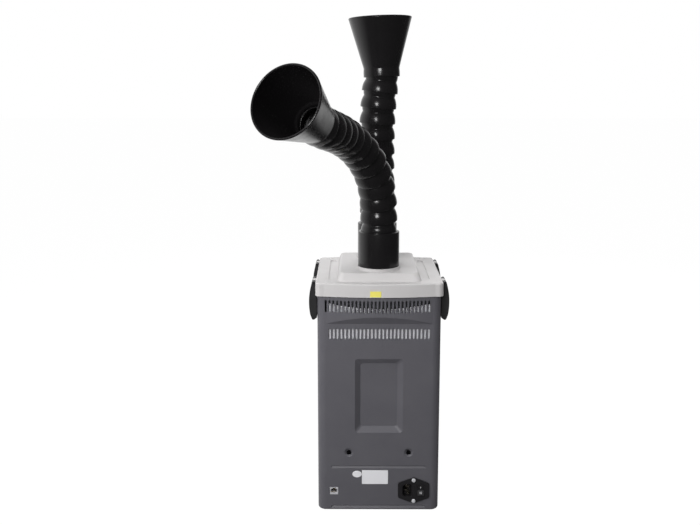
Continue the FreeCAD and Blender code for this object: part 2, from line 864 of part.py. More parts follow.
def arm(name, y, pose):
    pieces = {name + "_sleeve": sleeve(y)}
    link = segment()
    frames = arm_frames(y, pose)
    for number, (at, along) in enumerate(frames[:-1], 1):
        pieces["%s_segment_%02d" % (name, number)] = placed(link, at, along)
    at, along = frames[-1]
    pieces[name + "_funnel"] = placed(funnel(), at, along)
    return pieces


def filter_chamber():
    half_length = (chamber_front + chamber_rear) / 2
    outer = rounded_box(chamber_half_width, half_length, 2 * chamber_wall, fan_deck, chamber_top,
                        chamber_middle)
    inner = rounded_box(chamber_half_width - chamber_wall, half_length - chamber_wall, chamber_wall,
                        fan_deck - 1,
                        chamber_top + 1, chamber_middle)
    return outer.cut(inner)


def exhaust_fleece():
    # mat against the rear wall, its upper edge sagging between its ends
    low = lower_slot_bottom - fleece_margin
    high = upper_slot_bottom + fleece_rise
    left_end = V(fleece_left, -inner_depth, high)
    right_end = V(fleece_right, -inner_depth, high)
    left_foot = V(fleece_left, -inner_depth, low)
    right_foot = V(fleece_right, -inner_depth, low)
    middle = V((fleece_left + fleece_right) / 2, -inner_depth, high - fleece_sag)
    edges = [
        Part.Arc(left_end, middle, right_end).toShape(),
        Part.makeLine(right_end, right_foot),
        Part.makeLine(right_foot, left_foot),
        Part.makeLine(left_foot, left_end),
    ]
    return Part.Face(Part.Wire(edges)).extrude(V(0, fleece_thickness, 0))


def filter_block(z0, z1, inset=0.0):
    half_x = filter_half_width - inset
    half_y = filter_half_length - inset
    return box(-half_x, half_x, chamber_middle - half_y, chamber_middle + half_y, z0, z1)


def gas_filter():
    cassette = filter_block(fan_deck, particle_bottom)
    recess = filter_block(particle_bottom - particle_frame_width / 2, particle_bottom + 1,
                          particle_frame_width)
    return cassette.cut(recess)


def particle_filter_frame():
    frame = filter_block(particle_bottom, prefilter_bottom)
    return frame.cut(filter_block(particle_bottom - 1, prefilter_bottom + 1, particle_frame_width))


def particle_filter_pleats():
    half_x = filter_half_width - particle_frame_width
    half_y = filter_half_length - particle_frame_width
    low = particle_bottom + pleat_inset
    high = prefilter_bottom - pleat_inset
    step = half_x / pleat_count
    upper = []
    for i in range(2 * pleat_count + 1):
        z = low + pleat_thickness if i % 2 == 0 else high
        upper.append(V(-half_x + i * step, chamber_middle - half_y, z))
    lower = [p - V(0, 0, pleat_thickness) for p in reversed(upper)]
    return polygon_prism(upper + lower, V(0, 2 * half_y, 0))


def prefilter_mat():
    return filter_block(prefilter_bottom, prefilter_bottom + prefilter_height)


def fan_plate():
    half = inner_width - seat_clearance
    half_y = inner_depth - seat_clearance
    plate = rounded_box(half, half_y, cabinet_corner - wall, fan_plate_height, fan_deck)
    flange_front = -inner_depth + wall
    flange_half = dimple_offset + 2 * boss_radius
    flange = box(-flange_half, flange_half, flange_front, flange_front + fan_plate_thickness,
                 fan_plate_height - fan_plate_flange, fan_deck)
    inside = duct_half_width - housing_wall
    removed = [
        Part.makeCylinder(eye_radius, housing_height, V(0, chamber_middle, fan_plate_height - 1)),
        box(-inside, inside, -duct_end + housing_wall, -chamber_rear, fan_plate_height - 1, fan_deck + 1),
        box(lead_rise_x - 2 * lead_radius, lead_rise_x + 2 * lead_radius, chamber_front, inner_depth,
            fan_plate_height - 1, fan_deck + 1),
    ]
    for x, z in rear_screw_places():
        removed.append(Part.makeCylinder(boss_radius + face_clearance, wall, V(x, -inner_depth, z), Y_AXIS))
        removed.append(Part.makeCylinder(screw_radius + running_clearance, 4 * wall,
                                         V(x, flange_front - 1, z), Y_AXIS))
    return plate.fuse(flange).cut(removed).removeSplitter()


def fan_housing():
    outer = Part.makeCylinder(housing_radius, housing_height, V(0, chamber_middle, housing_bottom))
    outer = outer.fuse(box(-duct_half_width, duct_half_width, -duct_end, 0, housing_bottom,
                           fan_plate_height))
    floor = housing_bottom + housing_wall
    inside = duct_half_width - housing_wall
    inner = Part.makeCylinder(housing_radius - housing_wall, housing_height, V(0, chamber_middle, floor))
    inner = inner.fuse(box(-inside, inside, -duct_end + housing_wall, 0, floor, fan_plate_height + 1))
    hole = Part.makeCylinder(hub_radius + wall, housing_height, V(0, chamber_middle, housing_bottom - 1))
    return outer.removeSplitter().cut([inner, hole])


def fan_motor():
    flange_bottom = housing_bottom - motor_flange_height
    body = Part.makeCylinder(motor_radius, motor_height,
                             V(0, chamber_middle, housing_bottom - motor_height))
    flange = Part.makeCylinder(motor_flange_radius, motor_flange_height,
                               V(0, chamber_middle, flange_bottom))
    half = motor_terminal_width / 2
    terminal = box(-motor_radius - motor_terminal_out, 0, chamber_middle - half, chamber_middle + half,
                   housing_bottom - motor_height, housing_bottom - motor_height + motor_terminal_width)
    bore = Part.makeCylinder(shaft_radius + running_clearance, motor_height,
                             V(0, chamber_middle, impeller_bottom - shaft_length - 1))
    return body.fuse([flange, terminal]).removeSplitter().cut(bore)


def fan_impeller():
    top = impeller_bottom + impeller_height
    back = Part.makeCylinder(impeller_radius, impeller_plate, V(0, 0, impeller_bottom))
    shroud = Part.makeCylinder(impeller_radius, impeller_plate, V(0, 0, top - impeller_plate))
    shroud = shroud.cut(Part.makeCylinder(eye_radius, 2 * impeller_plate,
                                          V(0, 0, top - 1.5 * impeller_plate)))
    hub = Part.makeCylinder(hub_radius, impeller_height / 2, V(0, 0, impeller_bottom))
    shaft = Part.makeCylinder(shaft_radius, shaft_length + impeller_plate,
                              V(0, 0, impeller_bottom - shaft_length))
    blades = []
    reach = impeller_radius - impeller_plate
    length = (reach - blade_inner_radius) / math.cos(math.radians(blade_angle)) * 0.9
    for i in range(blade_count):
        blade = box(0, length, -impeller_plate / 2, impeller_plate / 2,
                    impeller_bottom + impeller_plate / 2,
                    top - impeller_plate / 2)
        blade.rotate(V(0, 0, 0), Z_AXIS, blade_angle)
        blade.translate(V(blade_inner_radius, 0, 0))
        blade.rotate(V(0, 0, 0), Z_AXIS, 360.0 * i / blade_count)
        blades.append(blade)
    wheel = back.fuse([shroud, hub, shaft] + blades).removeSplitter()
    wheel.translate(V(0, chamber_middle, 0))
    return wheel


def mains_inlet():
    half_w = inlet_flange_width / 2
    half_h = inlet_flange_height / 2
    side = inlet_flange_side / 2
    y = -half_depth
    shape = [(-half_w, -side), (0, -half_h), (half_w, -side), (half_w, side), (0, half_h), (-half_w, side)]
    outline = [V(inlet_x + a, y - inlet_flange_thickness, inlet_level + b) for a, b in shape]
    flange = polygon_prism(outline, V(0, inlet_flange_thickness, 0))
    corners = [e for e in flange.Edges if abs(e.tangentAt(e.FirstParameter).y) > 0.9]
    flange = flange.makeFillet(2 * inlet_flange_thickness, corners)
    half_x = inlet_body_width / 2
    half_z = inlet_body_height / 2
    body = box(inlet_x - half_x, inlet_x + half_x, y - 1, -inlet_back, inlet_level - half_z,
               inlet_level + half_z)
    solid = flange.fuse(body).removeSplitter()
    front = y - inlet_flange_thickness
    w = cavity_width / 2
    h = cavity_height / 2
    c = cavity_corner
    mouth = [(w, -h), (w, h), (c - w, h), (-w, h - c), (-w, c - h), (c - w, -h)]
    removed = [polygon_prism([V(cavity_x + a, front - 1, inlet_level + b) for a, b in mouth],
                             V(0, cavity_depth + 1, 0))]
    half_x = rocker_width / 2 + face_clearance
    half_z = rocker_height / 2 + 4 * face_clearance
    removed.append(box(rocker_x - half_x, rocker_x + half_x, front - 1,
                       front + rocker_depth + rocker_pivot_depth,
                       inlet_level - half_z, inlet_level + half_z))
    axle = rocker_width + 2 * rocker_axle_length + 2 * face_clearance
    removed.append(Part.makeCylinder(rocker_axle_radius + running_clearance, axle,
                                     V(rocker_x - axle / 2, -rocker_pivot_y, inlet_level), X_AXIS))
    for z in inlet_screw_levels():
        removed.append(Part.makeCylinder(screw_radius + running_clearance, 4 * wall,
                                         V(inlet_x, front - 1, z), Y_AXIS))
    for place_x, place_z in contact_places():
        removed.append(contact_blade(place_x, place_z, running_clearance))
    return solid.cut(removed)


def contact_places():
    live = cavity_x + contact_set_back / 2
    earth = cavity_x - contact_set_back / 2
    half = contact_spacing / 2
    return [(live, inlet_level - half), (live, inlet_level + half), (earth, inlet_level)]


def contact_blade(x, z, grow):
    half_x = contact_width / 2 + grow
    half_z = contact_thickness / 2 + grow
    start = -half_depth - inlet_flange_thickness + cavity_depth - contact_length + contact_thickness
    return box(x - half_x, x + half_x, start, -inlet_back, z - half_z, z + half_z)


def inlet_contacts():
    return Part.makeCompound([contact_blade(x, z, 0) for x, z in contact_places()])


def inlet_screws():
    screws = []
    front = -half_depth - inlet_flange_thickness
    for z in inlet_screw_levels():
        head = Part.makeCylinder(screw_head_radius * 0.9, screw_head_height,
                                 V(inlet_x, front - screw_head_height, z), Y_AXIS)
        head = head.makeFillet(screw_head_height * 0.6,
                               [e for e in head.Edges if e.BoundBox.YMax < front - 1.9])
        shank = Part.makeCylinder(screw_radius, 3 * wall, V(inlet_x, front - screw_head_height / 2, z),
                                  Y_AXIS)
        screws.append(head.fuse(shank))
    return Part.makeCompound(screws)


def rocker_switch():
    half = rocker_height / 2
    face = -half_depth - inlet_flange_thickness
    profile = [
        V(0, face - rocker_rise, inlet_level + half),
        V(0, face + rocker_rise / 2, inlet_level),
        V(0, face - rocker_rise, inlet_level - half),
        V(0, face + rocker_depth - rocker_rise, inlet_level - half + rocker_rise),
        V(0, face + rocker_depth - rocker_rise, inlet_level + half - rocker_rise),
    ]
    body = polygon_prism(profile, V(rocker_width, 0, 0))
    body.translate(V(rocker_x - rocker_width / 2, 0, 0))
    axle = rocker_width + 2 * rocker_axle_length
    body = body.fuse(Part.makeCylinder(rocker_axle_radius, axle,
                                       V(rocker_x - axle / 2, -rocker_pivot_y, inlet_level), X_AXIS))
    body.rotate(V(rocker_x, -rocker_pivot_y, inlet_level), X_AXIS, -rocker_rest_angle)
    return body


def interface_socket():
    half_x = socket_width / 2
    half_z = socket_height / 2
    front = -half_depth - face_clearance
    back = -half_depth + socket_depth
    shield = box(socket_x - half_x, socket_x + half_x, front, back, socket_level - half_z,
                 socket_level + half_z)
    grip = socket_flange
    flange = box(socket_x - half_x - grip, socket_x + half_x + grip, -inner_depth,
                 -inner_depth + socket_flange_thickness,
                 socket_level - half_z - grip, socket_level + half_z + grip)
    half = socket_opening_width / 2
    tall = socket_opening_height / 2
    opening = box(socket_x - half, socket_x + half, front - 1, front + socket_opening_depth,
                  socket_level - tall, socket_level + tall)
    notch = box(socket_x - half / 2, socket_x + half / 2, front - 1, front + socket_opening_depth,
                socket_level, socket_level + tall + socket_flange)
    return shield.fuse(flange).removeSplitter().cut([opening, notch])


def rating_labels():
    plate = box(rating_left, rating_right, -half_depth - label_thickness, -half_depth, rating_bottom,
                rating_top)
    rim = Part.Ellipse(V(0, 0, 0), sticker_half_width, sticker_half_height).toShape()
    sticker = Part.Face(Part.Wire(rim)).extrude(V(0, 0, label_thickness))
    sticker.rotate(V(0, 0, 0), X_AXIS, 90)
    sticker.translate(V(sticker_x, -half_depth, sticker_level))
    return Part.makeCompound([plate, sticker])


def lid_label():
    face = lid_half_depth
    low = lid_bottom + lid_label_lift
    skin = bow(REAR, lid_bow_half_chord, bow_rise + label_thickness, face, low, low + lid_label_height)
    skin = skin.cut(bow(REAR, lid_bow_half_chord, bow_rise, face, low - 1, low + lid_label_height + 1))
    area = box(lid_label_left, lid_label_right, -face - 3 * bow_rise, -face, low, low + lid_label_height)
    return skin.common(area)


def control_panel():
    back = half_depth
    face = back + control_thickness
    plate = rounded_plate(control_half_width, control_half_height, control_corner, back, face, 0,
                          control_level)
    rim = [e for e in plate.Edges if e.BoundBox.YMin > face - 0.01]
    plate = plate.makeFillet(control_thickness / 3, rim)
    half_x = window_half_width
    half_z = window_half_height
    removed = [
        box(window_x - half_x, window_x + half_x, face - window_thickness, face + 1, control_level - half_z,
            control_level + half_z),
        box(window_x - half_x + window_rebate, window_x + half_x - window_rebate, back - 1, face + 1,
            control_level - half_z + window_rebate, control_level + half_z - window_rebate),
    ]
    for x in key_positions:
        removed.append(Part.makeCylinder(key_radius + face_clearance, 2 * wall,
                                         V(x, back - 1, control_level), Y_AXIS))
    posts = []
    for x, z in board_post_places():
        posts.append(Part.makeCylinder(board_post_radius, half_depth - board_front + 1,
                                       V(x, board_front, z), Y_AXIS))
    return plate.cut(removed).fuse(posts)


def board_post_places():
    x = board_half_width - 2 * board_post_radius
    z = board_half_height - 2 * board_post_radius
    return [(a * x, control_level + b * z) for a in (-1, 1) for b in (-1, 1)]


def display_window():
    face = half_depth + control_thickness
    half_x = window_half_width - face_clearance
    half_z = window_half_height - face_clearance
    return box(window_x - half_x, window_x + half_x, face - window_thickness, face, control_level - half_z,
               control_level + half_z)


def key(x):
    back = half_depth - face_clearance - key_flange_thickness
    face = half_depth + control_thickness + key_rise
    cap = Part.makeCylinder(key_radius, face - back, V(x, back, control_level), Y_AXIS)
    cap = cap.makeFillet(key_rise / 2, [e for e in cap.Edges if e.BoundBox.YMin > face - 0.01])
    return cap.fuse(Part.makeCylinder(key_radius + key_flange, key_flange_thickness,
                                      V(x, back, control_level), Y_AXIS))


def control_board():
    back = board_front - board_thickness
    solids = [box(-board_half_width, board_half_width, back, board_front, control_level - board_half_height,
                  control_level + board_half_height)]
    key_back = half_depth - face_clearance - key_flange_thickness
    tact_height = key_back - key_travel - face_clearance - board_front
    for x in key_positions:
        solids.append(Part.makeCylinder(tact_radius, tact_height, V(x, board_front, control_level), Y_AXIS))
    return Part.makeCompound(solids)


def power_supply():
    board = box(supply_left, supply_right, supply_rear, supply_front, board_level, board_top)
    solids = [board]
    for x in (supply_left + 2 * supply_standoff_radius, -floor_opening_half - 2 * supply_standoff_radius):
        for y in (supply_rear + 2 * supply_standoff_radius, supply_front - 2 * supply_standoff_radius):
            solids.append(Part.makeCylinder(supply_standoff_radius, supply_standoff, V(x, y, floor_top)))
    middle = (supply_left + supply_right) / 2
    half = transformer_size / 2
    solids.append(box(middle - half, middle + half, supply_front - transformer_size - wall,
                      supply_front - wall,
                      board_top, board_top + transformer_size))
    row = supply_front - transformer_size - 2 * wall - capacitor_radius
    for x in (middle - capacitor_radius - 1, middle + capacitor_radius + 1):
        solids.append(Part.makeCylinder(capacitor_radius, capacitor_height, V(x, row, board_top)))
    solids.append(box(supply_right - terminal_depth, supply_right, supply_rear, 0, board_top,
                      board_top + terminal_height))
    solids.append(box(supply_left, supply_left + 12 * lead_radius, supply_rear,
                      supply_rear + terminal_depth,
                      board_top, board_top + terminal_height))
    return Part.makeCompound(solids)


def lead(points):
    # round lead along straight runs joined by arcs as large as the shorter run allows
    edges = []
    start = points[0]
    for before, corner, after in zip(points, points[1:], points[2:]):
        to_before = before - corner
        to_after = after - corner
        run = 0.45 * min(to_before.Length, to_after.Length)
        to_before.normalize()
        to_after.normalize()
        first = corner + to_before * run
        last = corner + to_after * run
        half_turn = to_before.getAngle(to_after) / 2
        bisector = to_before + to_after
        bisector.normalize()
        radius = run * math.tan(half_turn)
        middle = corner + bisector * (radius / math.sin(half_turn) - radius)
        edges.append(Part.makeLine(start, first))
        edges.append(Part.Arc(first, middle, last).toShape())
        start = last
    edges.append(Part.makeLine(start, points[-1]))
    path = Part.Wire(edges)
    profile = Part.Wire(Part.makeCircle(lead_radius, points[0], points[1] - points[0]))
    return path.makePipeShell([profile], True, False)


def wiring():
    terminal = board_top + terminal_height / 2
    inlet_y = -inlet_back
    mains_y = supply_rear / 2 - terminal_depth
    mains = [
        V(inlet_x, inlet_y, inlet_level),
        V(inlet_x, inlet_y + lead_inlet_run, inlet_level),
        V(inlet_x - lead_sweep_x, inlet_y + lead_sweep_y, terminal),
        V(supply_right + 2 * lead_supply_run, mains_y - lead_supply_run, terminal),
        V(supply_right + lead_supply_run, mains_y, terminal),
        V(supply_right, mains_y, terminal),
    ]
    motor_x = -motor_radius - motor_terminal_out
    motor_y = -terminal_depth / 2
    motor_z = housing_bottom - motor_height + motor_terminal_width / 2
    motor = [
        V(motor_x, chamber_middle, motor_z),
        V(motor_x - lead_motor_run, chamber_middle, motor_z),
        V(supply_right + lead_motor_run, motor_y, terminal + lead_radius),
        V(supply_right, motor_y, terminal + lead_radius),
    ]
    panel_y = (chamber_front + inner_depth) / 2
    edge_x = supply_left + lead_radius
    edge_z = board_top + 2 * lead_radius
    board_edge = control_level - board_half_height
    board_x = lead_rise_x + 3 * lead_panel_run
    board_y = board_front - board_thickness / 2
    panel = [
        V(edge_x, supply_rear + terminal_depth, edge_z),
        V(edge_x, supply_front + lead_board_turn, edge_z),
        V(lead_rise_x, panel_y, edge_z + lead_rise_start),
        V(lead_rise_x, panel_y, (fan_plate_height + board_edge) / 2),
        V(board_x - lead_panel_run, (panel_y + board_y) / 2, board_edge - 2 * lead_panel_run),
        V(board_x, board_y, board_edge - lead_panel_run),
        V(board_x, board_y, board_edge),
    ]
    return Part.makeCompound([lead(mains), lead(motor), lead(panel)])


def latch_nodes():
    nodes = {}
    for side, y in latch_places():
        end = "rear" if y < 0 else "front"
        hand = "left" if side < 0 else "right"
        nodes["latch_%s_%s" % (end, hand)] = latch(side, y)
    return nodes


def all_nodes():
    nodes = {
        "cabinet_shell": cabinet_shell(),
        "base_plate": base_plate(),
        "rubber_feet": rubber_feet(),
        "case_screws": case_screws(),
        "filter_chamber": filter_chamber(),
        "exhaust_fleece": exhaust_fleece(),
        "gas_filter": gas_filter(),
        "particle_filter_frame": particle_filter_frame(),
        "particle_filter_pleats": particle_filter_pleats(),
        "prefilter_mat": prefilter_mat(),
        "fan_plate": fan_plate(),
        "fan_housing": fan_housing(),
        "fan_motor": fan_motor(),
        "fan_impeller": fan_impeller(),
        "mains_inlet": mains_inlet(),
        "inlet_contacts": inlet_contacts(),
        "inlet_screws": inlet_screws(),
        "rocker_switch": rocker_switch(),
        "interface_socket": interface_socket(),
        "rating_labels": rating_labels(),
        "control_panel": control_panel(),
        "display_window": display_window(),
        "control_board": control_board(),
        "power_supply": power_supply(),
        "wiring": wiring(),
        "lid": lid(),
        "lid_seals": lid_seals(),
        "lid_label": lid_label(),
        "latch_pins": latch_pins(),
    }
    for name, x in zip(("key_minus", "key_plus"), key_positions):
        nodes[name] = key(x)
    nodes.update(latch_nodes())
    nodes.update(arm("near", REAR * port_offset, near_pose))
    nodes.update(arm("far", FRONT * port_offset, far_pose))
    return nodes


os.makedirs("parts", exist_ok=True)
for node, shape in all_nodes().items():
    print(node, len(shape.Solids), shape.isValid(), round(shape.Volume / 1000, 2), "cm3")
    shape.exportStep("parts/" + node + ".step")
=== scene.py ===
import bpy
import bmesh
import math
from mathutils import Vector, Matrix, noise


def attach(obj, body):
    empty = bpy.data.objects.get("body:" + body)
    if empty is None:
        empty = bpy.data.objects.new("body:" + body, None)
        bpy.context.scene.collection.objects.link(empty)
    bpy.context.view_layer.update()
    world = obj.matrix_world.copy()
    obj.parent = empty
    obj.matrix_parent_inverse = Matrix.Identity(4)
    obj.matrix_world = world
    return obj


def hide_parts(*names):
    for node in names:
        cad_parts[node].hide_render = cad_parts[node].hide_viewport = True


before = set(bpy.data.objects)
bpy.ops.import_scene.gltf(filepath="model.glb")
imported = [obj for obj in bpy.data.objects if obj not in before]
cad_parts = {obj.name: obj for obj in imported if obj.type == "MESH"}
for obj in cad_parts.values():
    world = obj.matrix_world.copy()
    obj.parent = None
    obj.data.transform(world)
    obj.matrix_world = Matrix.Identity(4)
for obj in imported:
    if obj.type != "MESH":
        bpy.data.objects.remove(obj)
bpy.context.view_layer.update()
scene = bpy.context.scene
mm = 0.001
print("frame loaded:", len(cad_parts), "nodes")


def hexColor(code):
    parts = [int(code[i:i + 2], 16) / 255 for i in (0, 2, 4)]
    return [c / 12.92 if c <= 0.04045 else ((c + 0.055) / 1.055) ** 2.4 for c in parts] + [1.0]


def addNode(tree, kind, values=None, links=None, **settings):
    node = tree.nodes.new(kind)
    for key, value in settings.items():
        setattr(node, key, value)
    for key, value in (values or {}).items():
        node.inputs[key].default_value = value
    for key, socket in (links or {}).items():
        tree.links.new(socket, node.inputs[key])
    return node


def startFinish(name):
    finish = bpy.data.materials.new(name)
    finish.use_nodes = True
    tree = finish.node_tree
    tree.nodes.clear()
    shader = addNode(tree, "ShaderNodeBsdfPrincipled")
    addNode(tree, "ShaderNodeOutputMaterial", links={"Surface": shader.outputs["BSDF"]})
    place = addNode(tree, "ShaderNodeTexCoord").outputs["Object"]
    return finish, tree, shader, place


def perMetre(sizeMm):
    return 1 / (sizeMm * mm)


# Moulded plastics: a spark-eroded or polished mould gives the grain, flow in the melt gives faint clouding,
# and handling leaves patches that shine a little more. Real grain is about 0.1 mm, and is drawn coarser so that
# it shows.
moulding = dict(cloudMm=45, handledMm=18, smoother=0.04, rougher=0.05, edgeMm=0.5, bumpShare=0.5, ior=1.5)
plastics = {
    "grainedAbs": dict(tone="5E5D62", cloud="55545A", rough=0.46, grainMm=1.1, depthMm=0.05, specular=0.45),
    "satinAbs": dict(tone="C4C2C2", cloud="BDBBBB", rough=0.42, grainMm=0.9, depthMm=0.03, specular=0.45),
    "glossPolypropylene": dict(tone="151415", cloud="1A191A", rough=0.2, grainMm=14.0, depthMm=0.05, specular=0.42),
    "filledNylon": dict(tone="2B2B2C", cloud="232324", rough=0.4, grainMm=0.8, depthMm=0.04, specular=0.4),
    "inletPolyamide": dict(tone="1F1E20", cloud="252426", rough=0.38, grainMm=0.7, depthMm=0.02, specular=0.4),
    # painted shade: the dark plate at the rear of the socket's mouth, standing in for the shadow there
    "socketMouthShade": dict(tone="2C2C2E", cloud="252527", rough=0.4, grainMm=0.7, depthMm=0.02, specular=0.4),
    "panelAbs": dict(tone="34353A", cloud="2E2F33", rough=0.4, grainMm=0.9, depthMm=0.03, specular=0.45),
    "keySilicone": dict(tone="8F9195", cloud="86888C", rough=0.55, grainMm=0.6, depthMm=0.02, specular=0.35),
    "fanPolyamide": dict(tone="3B3C3F", cloud="333437", rough=0.45, grainMm=0.8, depthMm=0.03, specular=0.4),
    "footRubber": dict(tone="1D1D1E", cloud="272728", rough=0.7, grainMm=0.7, depthMm=0.05, specular=0.3),
    "sealFoam": dict(tone="202021", cloud="2A2A2B", rough=0.85, grainMm=0.5, depthMm=0.12, specular=0.2),
    "leadPvc": dict(tone="262628", cloud="1F1F21", rough=0.5, grainMm=1.0, depthMm=0.02, specular=0.4),
    "solderMask": dict(tone="2F5B3A", cloud="274D31", rough=0.35, grainMm=1.5, depthMm=0.03, specular=0.5),
    "vinylWhite": dict(tone="E7E7EA", cloud="DEDEE2", rough=0.36, grainMm=0.9, depthMm=0.01, specular=0.5),
    "vinylYellow": dict(tone="E9E06E", cloud="E2D968", rough=0.36, grainMm=0.9, depthMm=0.01, specular=0.5),
    "markPaint": dict(tone="D9D9DB", cloud="CFCFD2", rough=0.5, grainMm=0.5, depthMm=0.01, specular=0.4),
    "motorEnamel": dict(tone="4A4D52", cloud="43464A", rough=0.4, grainMm=1.2, depthMm=0.03, specular=0.5),
}


def mouldedPlastic(name, spec):
    finish, tree, shader, place = startFinish(name)
    cloud = addNode(tree, "ShaderNodeTexNoise", {"Scale": perMetre(moulding["cloudMm"]), "Detail": 3.0},
                    {"Vector": place})
    tone = addNode(tree, "ShaderNodeMix", {"A": hexColor(spec["tone"]), "B": hexColor(spec["cloud"])},
                   data_type="RGBA")
    tree.links.new(cloud.outputs["Fac"], tone.inputs["Factor"])
    handled = addNode(tree, "ShaderNodeTexNoise", {"Scale": perMetre(moulding["handledMm"]), "Detail": 4.0},
                      {"Vector": place})
    shine = addNode(tree, "ShaderNodeMapRange", {"From Min": 0.3, "From Max": 0.7,
                    "To Min": spec["rough"] - moulding["smoother"], "To Max": spec["rough"] + moulding["rougher"]},
                    {"Value": handled.outputs["Fac"]})
    grain = addNode(tree, "ShaderNodeTexNoise", {"Scale": perMetre(spec["grainMm"]), "Detail": 2.0,
                    "Roughness": 0.6}, {"Vector": place})
    edge = addNode(tree, "ShaderNodeBevel", {"Radius": moulding["edgeMm"] * mm}, samples=4)
    bump = addNode(tree, "ShaderNodeBump", {"Strength": moulding["bumpShare"], "Distance": spec["depthMm"] * mm},
                   {"Height": grain.outputs["Fac"], "Normal": edge.outputs["Normal"]})
    tree.links.new(tone.outputs["Result"], shader.inputs["Base Color"])
    tree.links.new(shine.outputs["Result"], shader.inputs["Roughness"])
    tree.links.new(bump.outputs["Normal"], shader.inputs["Normal"])
    shader.inputs["IOR"].default_value = moulding["ior"]
    shader.inputs["Specular IOR Level"].default_value = spec["specular"]
    return finish


# Metals: rolled sheet and zinc plate keep fine lines along one way, with the plating's soft spangle over them;
# bare is the share of a dulled plating that is still bright metal. The lines are drawn coarser than real ones, to show.
plating = dict(spangleMm=7, smoother=0.07, rougher=0.1, depthMm=0.02, bumpShare=0.3)
metals = {
    "zincSheet": dict(tone="9A9CA0", cloud="8B8D91", rough=0.38, lineMm=0.5, runMm=30.0),
    "blackScrew": dict(tone="3A3A3D", cloud="2C2C2F", rough=0.36, lineMm=0.4, runMm=1.2),
    "zincScrew": dict(tone="D9DADD", cloud="C9CACE", rough=0.4, lineMm=0.4, runMm=1.2, bare=0.2),
    "tinShield": dict(tone="DEDEE1", cloud="CECED2", rough=0.4, lineMm=0.4, runMm=6.0, bare=0.35),
    "nickelBrass": dict(tone="CFC8B8", cloud="BDB5A2", rough=0.24, lineMm=0.4, runMm=3.0),
    "goldContact": dict(tone="D9B45C", cloud="C59F48", rough=0.22, lineMm=0.4, runMm=3.0),
}


def platedMetal(name, spec):
    finish, tree, shader, place = startFinish(name)
    stretch = addNode(tree, "ShaderNodeMapping", {"Scale": (perMetre(spec["runMm"]), perMetre(spec["lineMm"]),
                      perMetre(spec["lineMm"]))}, {"Vector": place})
    lines = addNode(tree, "ShaderNodeTexNoise", {"Scale": 1.0, "Detail": 3.0}, {"Vector": stretch.outputs["Vector"]})
    spangle = addNode(tree, "ShaderNodeTexNoise", {"Scale": perMetre(plating["spangleMm"]), "Detail": 2.0},
                      {"Vector": place})
    tone = addNode(tree, "ShaderNodeMix", {"A": hexColor(spec["tone"]), "B": hexColor(spec["cloud"])},
                   data_type="RGBA")
    tree.links.new(spangle.outputs["Fac"], tone.inputs["Factor"])
    shine = addNode(tree, "ShaderNodeMapRange", {"To Min": spec["rough"] - plating["smoother"],
                    "To Max": spec["rough"] + plating["rougher"]}, {"Value": lines.outputs["Fac"]})
    bump = addNode(tree, "ShaderNodeBump", {"Strength": plating["bumpShare"], "Distance": plating["depthMm"] * mm},
                   {"Height": lines.outputs["Fac"]})
    tree.links.new(tone.outputs["Result"], shader.inputs["Base Color"])
    tree.links.new(shine.outputs["Result"], shader.inputs["Roughness"])
    tree.links.new(bump.outputs["Normal"], shader.inputs["Normal"])
    shader.inputs["Metallic"].default_value = spec.get("bare", 1.0)
    return finish


# Fibre goods: felt and filter paper scatter light from loose fibres, board shows pressed flecks. The fibres are drawn
# as coarse as tufts, because single ones, of about 0.03 mm, would not show.
fibreLay = dict(turn=(0.3, 0.5, 0.7), bumpShare=0.6, specular=0.2)
fibres = {
    "polyesterFelt": dict(tone="F7F7FA", shade="DEDEE4", rough=0.95, fibreMm=0.9, runMm=9.0, depthMm=0.2),
    "glassPaper": dict(tone="F0EFEA", shade="E0DED6", rough=0.9, fibreMm=0.4, runMm=3.0, depthMm=0.1),
    "fibreBoard": dict(tone="B79B73", shade="A0845E", rough=0.85, fibreMm=0.8, runMm=5.0, depthMm=0.1),
}


def fibreMat(name, spec):
    finish, tree, shader, place = startFinish(name)
    stretch = addNode(tree, "ShaderNodeMapping", {"Scale": (perMetre(spec["runMm"]), perMetre(spec["fibreMm"]),
                      perMetre(spec["fibreMm"])), "Rotation": fibreLay["turn"]}, {"Vector": place})
    fibre = addNode(tree, "ShaderNodeTexNoise", {"Scale": 1.0, "Detail": 4.0, "Distortion": 0.8},
                    {"Vector": stretch.outputs["Vector"]})
    tone = addNode(tree, "ShaderNodeMix", {"A": hexColor(spec["shade"]), "B": hexColor(spec["tone"])},
                   data_type="RGBA")
    tree.links.new(fibre.outputs["Fac"], tone.inputs["Factor"])
    bump = addNode(tree, "ShaderNodeBump", {"Strength": fibreLay["bumpShare"], "Distance": spec["depthMm"] * mm},
                   {"Height": fibre.outputs["Fac"]})
    tree.links.new(tone.outputs["Result"], shader.inputs["Base Color"])
    tree.links.new(bump.outputs["Normal"], shader.inputs["Normal"])
    shader.inputs["Roughness"].default_value = spec["rough"]
    shader.inputs["Specular IOR Level"].default_value = fibreLay["specular"]
    return finish


# Window: cast acrylic, dark and polished, with faint wiping marks.
window = dict(tone="0D1216", wipeMm=6, smooth=0.05, dull=0.14, ior=1.49)


def smokedAcrylic(name, spec):
    finish, tree, shader, place = startFinish(name)
    wiped = addNode(tree, "ShaderNodeTexNoise", {"Scale": perMetre(spec["wipeMm"]), "Detail": 5.0}, {"Vector": place})
    shine = addNode(tree, "ShaderNodeMapRange", {"To Min": spec["smooth"], "To Max": spec["dull"]},
                    {"Value": wiped.outputs["Fac"]})
    tree.links.new(shine.outputs["Result"], shader.inputs["Roughness"])
    shader.inputs["Base Color"].default_value = hexColor(spec["tone"])
    shader.inputs["IOR"].default_value = spec["ior"]
    return finish


finishes = {name: mouldedPlastic(name, spec) for name, spec in plastics.items()}
finishes.update({name: platedMetal(name, spec) for name, spec in metals.items()})
finishes.update({name: fibreMat(name, spec) for name, spec in fibres.items()})
finishes["smokedAcrylic"] = smokedAcrylic("smokedAcrylic", window)

